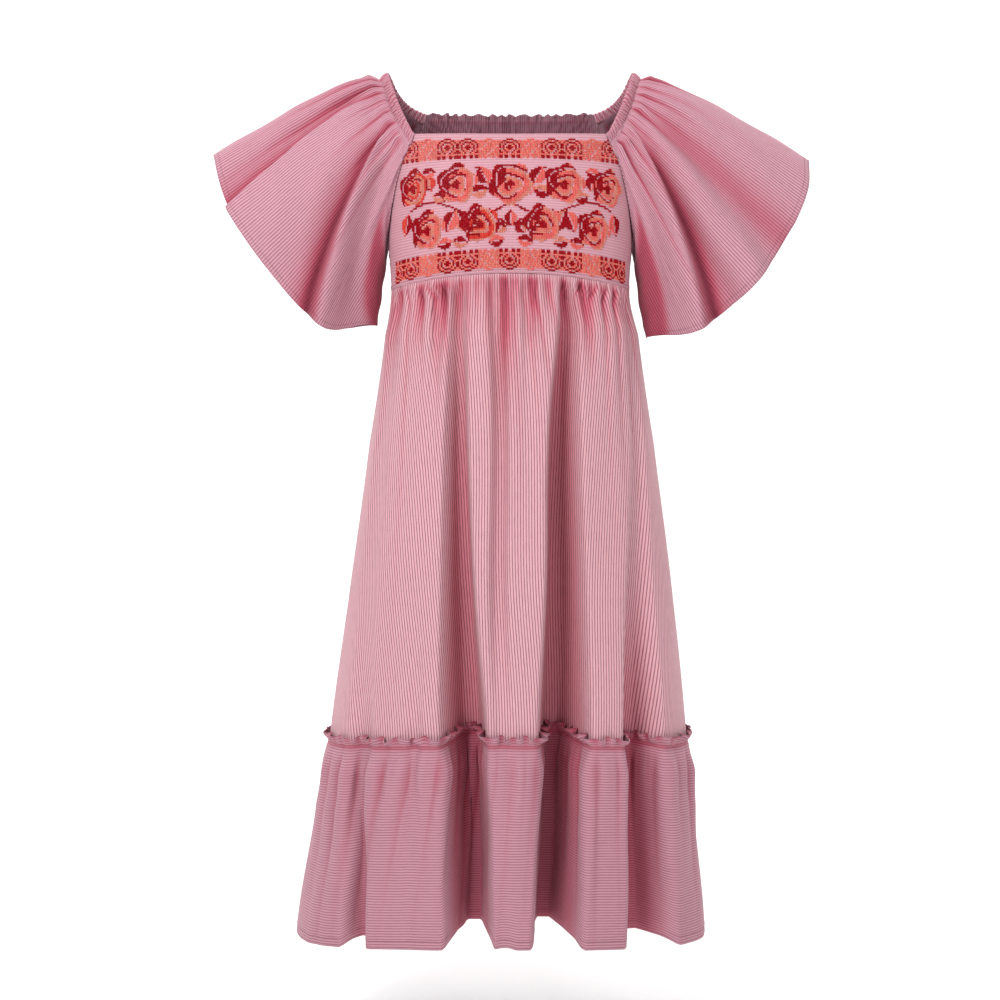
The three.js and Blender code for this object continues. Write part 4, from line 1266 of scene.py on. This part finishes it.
def stitch_shape(crossed):
    """A plump thread one unit long, bent down at its ends, or two of them laid crosswise."""
    bm = bmesh.new()
    form = {"radius1": THREAD_ROUND, "radius2": THREAD_ROUND, "depth": CROSS_LONG if crossed else 1.0}
    bmesh.ops.create_cone(bm, segments=3, cap_ends=True, **form)
    whole = bm.verts[:] + bm.edges[:] + bm.faces[:]
    bmesh.ops.bisect_plane(bm, geom=whole, plane_co=(0, 0, 0), plane_no=(0, 0, 1))
    bmesh.ops.rotate(bm, verts=bm.verts, matrix=Matrix.Rotation(math.radians(90), 3, "Y"))
    middle = [vert for vert in bm.verts if abs(vert.co.x) < 0.1]
    bmesh.ops.scale(bm, vec=(1, 1.25, 1.1), verts=middle)
    bmesh.ops.translate(bm, verts=middle, vec=(0, 0, 0.14))
    if crossed:
        under = bm.verts[:]
        over = vertices(bmesh.ops.duplicate(bm, geom=bm.verts[:] + bm.edges[:] + bm.faces[:]))
        for thread, degrees in ((under, 45), (over, -45)):
            bmesh.ops.rotate(bm, verts=thread, matrix=Matrix.Rotation(math.radians(degrees), 3, "Z"))
        bmesh.ops.translate(bm, verts=over, vec=(0, 0, 0.12))
    bmesh.ops.recalc_face_normals(bm, faces=bm.faces)
    return bm


def sewn(name, shape, places, material):
    """Copies of one small stitch, each at its own place with its own turn and size, joined in one mesh."""
    pattern_mesh = bpy.data.meshes.new(name + "_stitch")
    shape.to_mesh(pattern_mesh)
    pattern_mesh.shade_smooth()
    pattern = bpy.data.objects.new(name + "_stitch", pattern_mesh)
    bm = bmesh.new()
    turn = bm.verts.layers.float_vector.new("turn")
    size = bm.verts.layers.float_vector.new("size")
    for at, along, out, scale in places:
        vert = bm.verts.new(Vector(at) * MM)
        across = Vector(out).cross(Vector(along)).normalized()
        along = across.cross(Vector(out)).normalized()
        vert[turn] = Matrix((along, across, Vector(out))).transposed().to_euler()
        vert[size] = Vector(scale) * MM
    piece = linked(name, mesh_of(bm, name))
    tree = bpy.data.node_groups.new(name + "_sewing", "GeometryNodeTree")
    for way in ("INPUT", "OUTPUT"):
        tree.interface.new_socket("Geometry", in_out=way, socket_type="NodeSocketGeometry")
    start, end, copies, joined, source, euler, turns, sizes = (
        tree.nodes.new(kind)
        for kind in (
            "NodeGroupInput",
            "NodeGroupOutput",
            "GeometryNodeInstanceOnPoints",
            "GeometryNodeRealizeInstances",
            "GeometryNodeObjectInfo",
            "FunctionNodeEulerToRotation",
            "GeometryNodeInputNamedAttribute",
            "GeometryNodeInputNamedAttribute",
        )
    )
    source.inputs["Object"].default_value = pattern
    for read, key in ((turns, "turn"), (sizes, "size")):
        read.data_type = "FLOAT_VECTOR"
        read.inputs["Name"].default_value = key
    for output, socket in (
        (turns.outputs["Attribute"], euler.inputs[0]),
        (sizes.outputs["Attribute"], copies.inputs["Scale"]),
        (euler.outputs[0], copies.inputs["Rotation"]),
        (start.outputs[0], copies.inputs["Points"]),
        (source.outputs["Geometry"], copies.inputs["Instance"]),
        (copies.outputs[0], joined.inputs[0]),
        (joined.outputs[0], end.inputs[0]),
    ):
        tree.links.new(output, socket)
    piece.modifiers.new("sewing", "NODES").node_group = tree
    ready = piece.evaluated_get(bpy.context.evaluated_depsgraph_get())
    finished = bpy.data.meshes.new_from_object(ready)
    piece.modifiers.clear()
    piece.data = finished
    finished.materials.clear()
    finished.materials.append(material)
    bpy.data.objects.remove(pattern)
    bpy.data.node_groups.remove(tree)
    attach(piece, "root")
    return piece


def yoke_places(points, cut, across, down, lift):
    """Places on the yoke by distances across and down: the point, the way across and the way out."""
    rows = -cut[:, cut.shape[1] // 2, 1]

    def in_row(k, u):
        return np.stack([np.interp(u, cut[k, :, 0], points[k, :, c]) for c in range(3)], axis=-1)

    def at(u, v):
        r = np.interp(v, rows, np.arange(len(rows)))
        low = min(int(r), len(rows) - 2)
        return mix(in_row(low, u), in_row(low + 1, u), r - low)

    centre = at(across, down)
    way = unit(at(across + 1, down) - at(across - 1, down))
    fall = unit(at(across, down + 1) - at(across, down - 1))
    out = unit(np.cross(fall, way))
    return centre + out * lift, way, out


THREADS = {
    tone: thread_finish(tone + "_thread", colour(*shade), colour(*dark))
    for tone, shade, dark in (
        ("seam", (140, 78, 100), (100, 50, 70)),
        ("red", (186, 4, 26), (150, 2, 18)),
        ("coral", (250, 128, 120), (234, 102, 98)),
        ("salmon", (240, 156, 136), (222, 126, 112)),
        ("orange", (242, 82, 64), (218, 50, 42)),
    )
}
SEAM_THREAD = THREADS.pop("seam")


def make_embroidery(points, cut):
    """The yoke's cross stitch, one joined piece for each thread."""
    chart = embroidery_chart()
    sewn_places = {tone: [] for tone in THREADS}
    rows = -cut[:, cut.shape[1] // 2, 1]
    for row_at in range(CHART_ROWS):
        columns_at = np.array(sorted(c for r, c in chart if r == row_at), float)
        if not len(columns_at):
            continue
        down = (row_at + 0.5) * rows[-1] / CHART_ROWS
        r = int(np.searchsorted(rows, down))
        room = min(cut[r, -1, 0], -cut[r, 0, 0]) - CHART_EDGE
        columns_at = columns_at[np.abs(columns_at) * CELL < room]
        centre, way, out = yoke_places(points, cut, columns_at * CELL, down, STITCH_LIFT)
        for k, column_at in enumerate(columns_at):
            uneven = 0.94 + 0.12 * float(vary(column_at * 7 + row_at, 4))
            scale = (CELL * uneven, CELL * (1.96 - uneven), CELL * 1.1)
            sewn_places[chart[row_at, int(column_at)]].append((centre[k], way[k], out[k], scale))
    for tone, places in sewn_places.items():
        sewn("embroidery_" + tone, stitch_shape(crossed=True), places, THREADS[tone])


def stitch_row(points, centre, row_at, spacing=3.6, long=2.5, thick=0.9, rim=4):
    """Places of the stitches along one row of a sheet's grid; the row may lie between two grid rows."""
    low = min(int(row_at), len(points) - 2)
    line = mix(points[low], points[low + 1], row_at - low)
    fall = points[low + 1] - points[low]
    along = arcs(*line.T)
    stops = np.arange(rim, along[-1] - rim, spacing)
    at, after, down = (
        np.stack([np.interp(stops + step, along, v[:, k]) for k in range(3)], axis=-1)
        for v, step in ((line, 0), (line, 0.5), (fall, 0))
    )
    way = unit(after - at)
    out = unit(np.cross(way, down))
    out *= np.sign(np.einsum("ij,ij->i", out, at - centre(at)))[:, None]
    return [(a + o * 0.1, w, o, (long, thick, thick)) for a, w, o in zip(at, way, out)]


# ---------------------------------------------------------------- stage

# The floor's and the backdrop's sizes in metres
STAGE_HALF = 5
FLOOR_Z = -1.33
FLOOR_FRONT = -4.0
BACK_START = 1.6
BACK_BEND = 1.2
BACK_TOP = 5.0


def make_stage():
    """A plain pale floor that turns up into a backdrop."""
    profile = [(FLOOR_FRONT, 0), (BACK_START, 0)]
    bend = np.linspace(0.1, math.pi / 2, 16)
    profile += [(BACK_START + BACK_BEND * math.sin(a), BACK_BEND - BACK_BEND * math.cos(a)) for a in bend]
    profile += [(BACK_START + BACK_BEND, BACK_TOP)]
    bm = bmesh.new()
    left = [bm.verts.new((-STAGE_HALF, y, z + FLOOR_Z)) for y, z in profile]
    edges = [bm.edges.new(pair) for pair in zip(left, left[1:])]
    made = bmesh.ops.extrude_edge_only(bm, edges=edges)
    bmesh.ops.translate(bm, verts=vertices(made), vec=(2 * STAGE_HALF, 0, 0))
    bmesh.ops.recalc_face_normals(bm, faces=bm.faces)
    mesh = mesh_of(bm, "studio_floor")
    mesh.shade_smooth()
    mesh.materials.append(plain_finish("studio_paper", (0.9, 0.9, 0.9)))
    linked("studio_floor", mesh)


# ---------------------------------------------------------------- the scene

set_camera()
set_light()
make_stage()

skirt_front = make_skirt("front", salt=1, rows=130, columns=264)
skirt_back = make_skirt("back", salt=2, rows=100, columns=216)
ruffle_front, ruffle_front_points = make_ruffle("front", salt=3, rows=64, columns=300)
ruffle_back, ruffle_back_points = make_ruffle("back", salt=4, rows=52, columns=240)
yoke, yoke_points, yoke_cut = make_yoke(rows=90, columns=110)
back = make_back(rows=84, columns=300)
sleeve_left, sleeve_left_points = make_sleeve("left", salt=5, rows=72, columns=220)
sleeve_right, sleeve_right_points = make_sleeve("right", salt=6, rows=72, columns=220)
casing_left = make_casing("left", stations=348, around=12)
casing_right = make_casing("right", stations=348, around=12)

make_embroidery(yoke_points, yoke_cut)


def from_body(at):
    """The dress's upright axis at each place's own height."""
    return at * (0, 0, 1)


def from_sleeve(side):
    return lambda at: SLEEVE_MIDDLE * MIRROR[side] * np.ones_like(at)


# Rows of topstitching: name, the sheet they are on, what they face away from, their row of its grid, and slot
for name, points, centre, row_at, slot in (
    ("yoke_seam_stitches", yoke_points, from_body, 87.2, "yoke"),
    ("front_ruffle_stitches", ruffle_front_points, from_body, 61.07, "cloth"),
    ("back_ruffle_stitches", ruffle_back_points, from_body, 49.25, "cloth"),
    ("sleeve_left_stitches", sleeve_left_points, from_sleeve("left"), 69.2, "cloth"),
    ("sleeve_right_stitches", sleeve_right_points, from_sleeve("right"), 69.2, "cloth"),
):
    sewn(name, stitch_shape(crossed=False), stitch_row(points, centre, row_at), SEAM_THREAD)
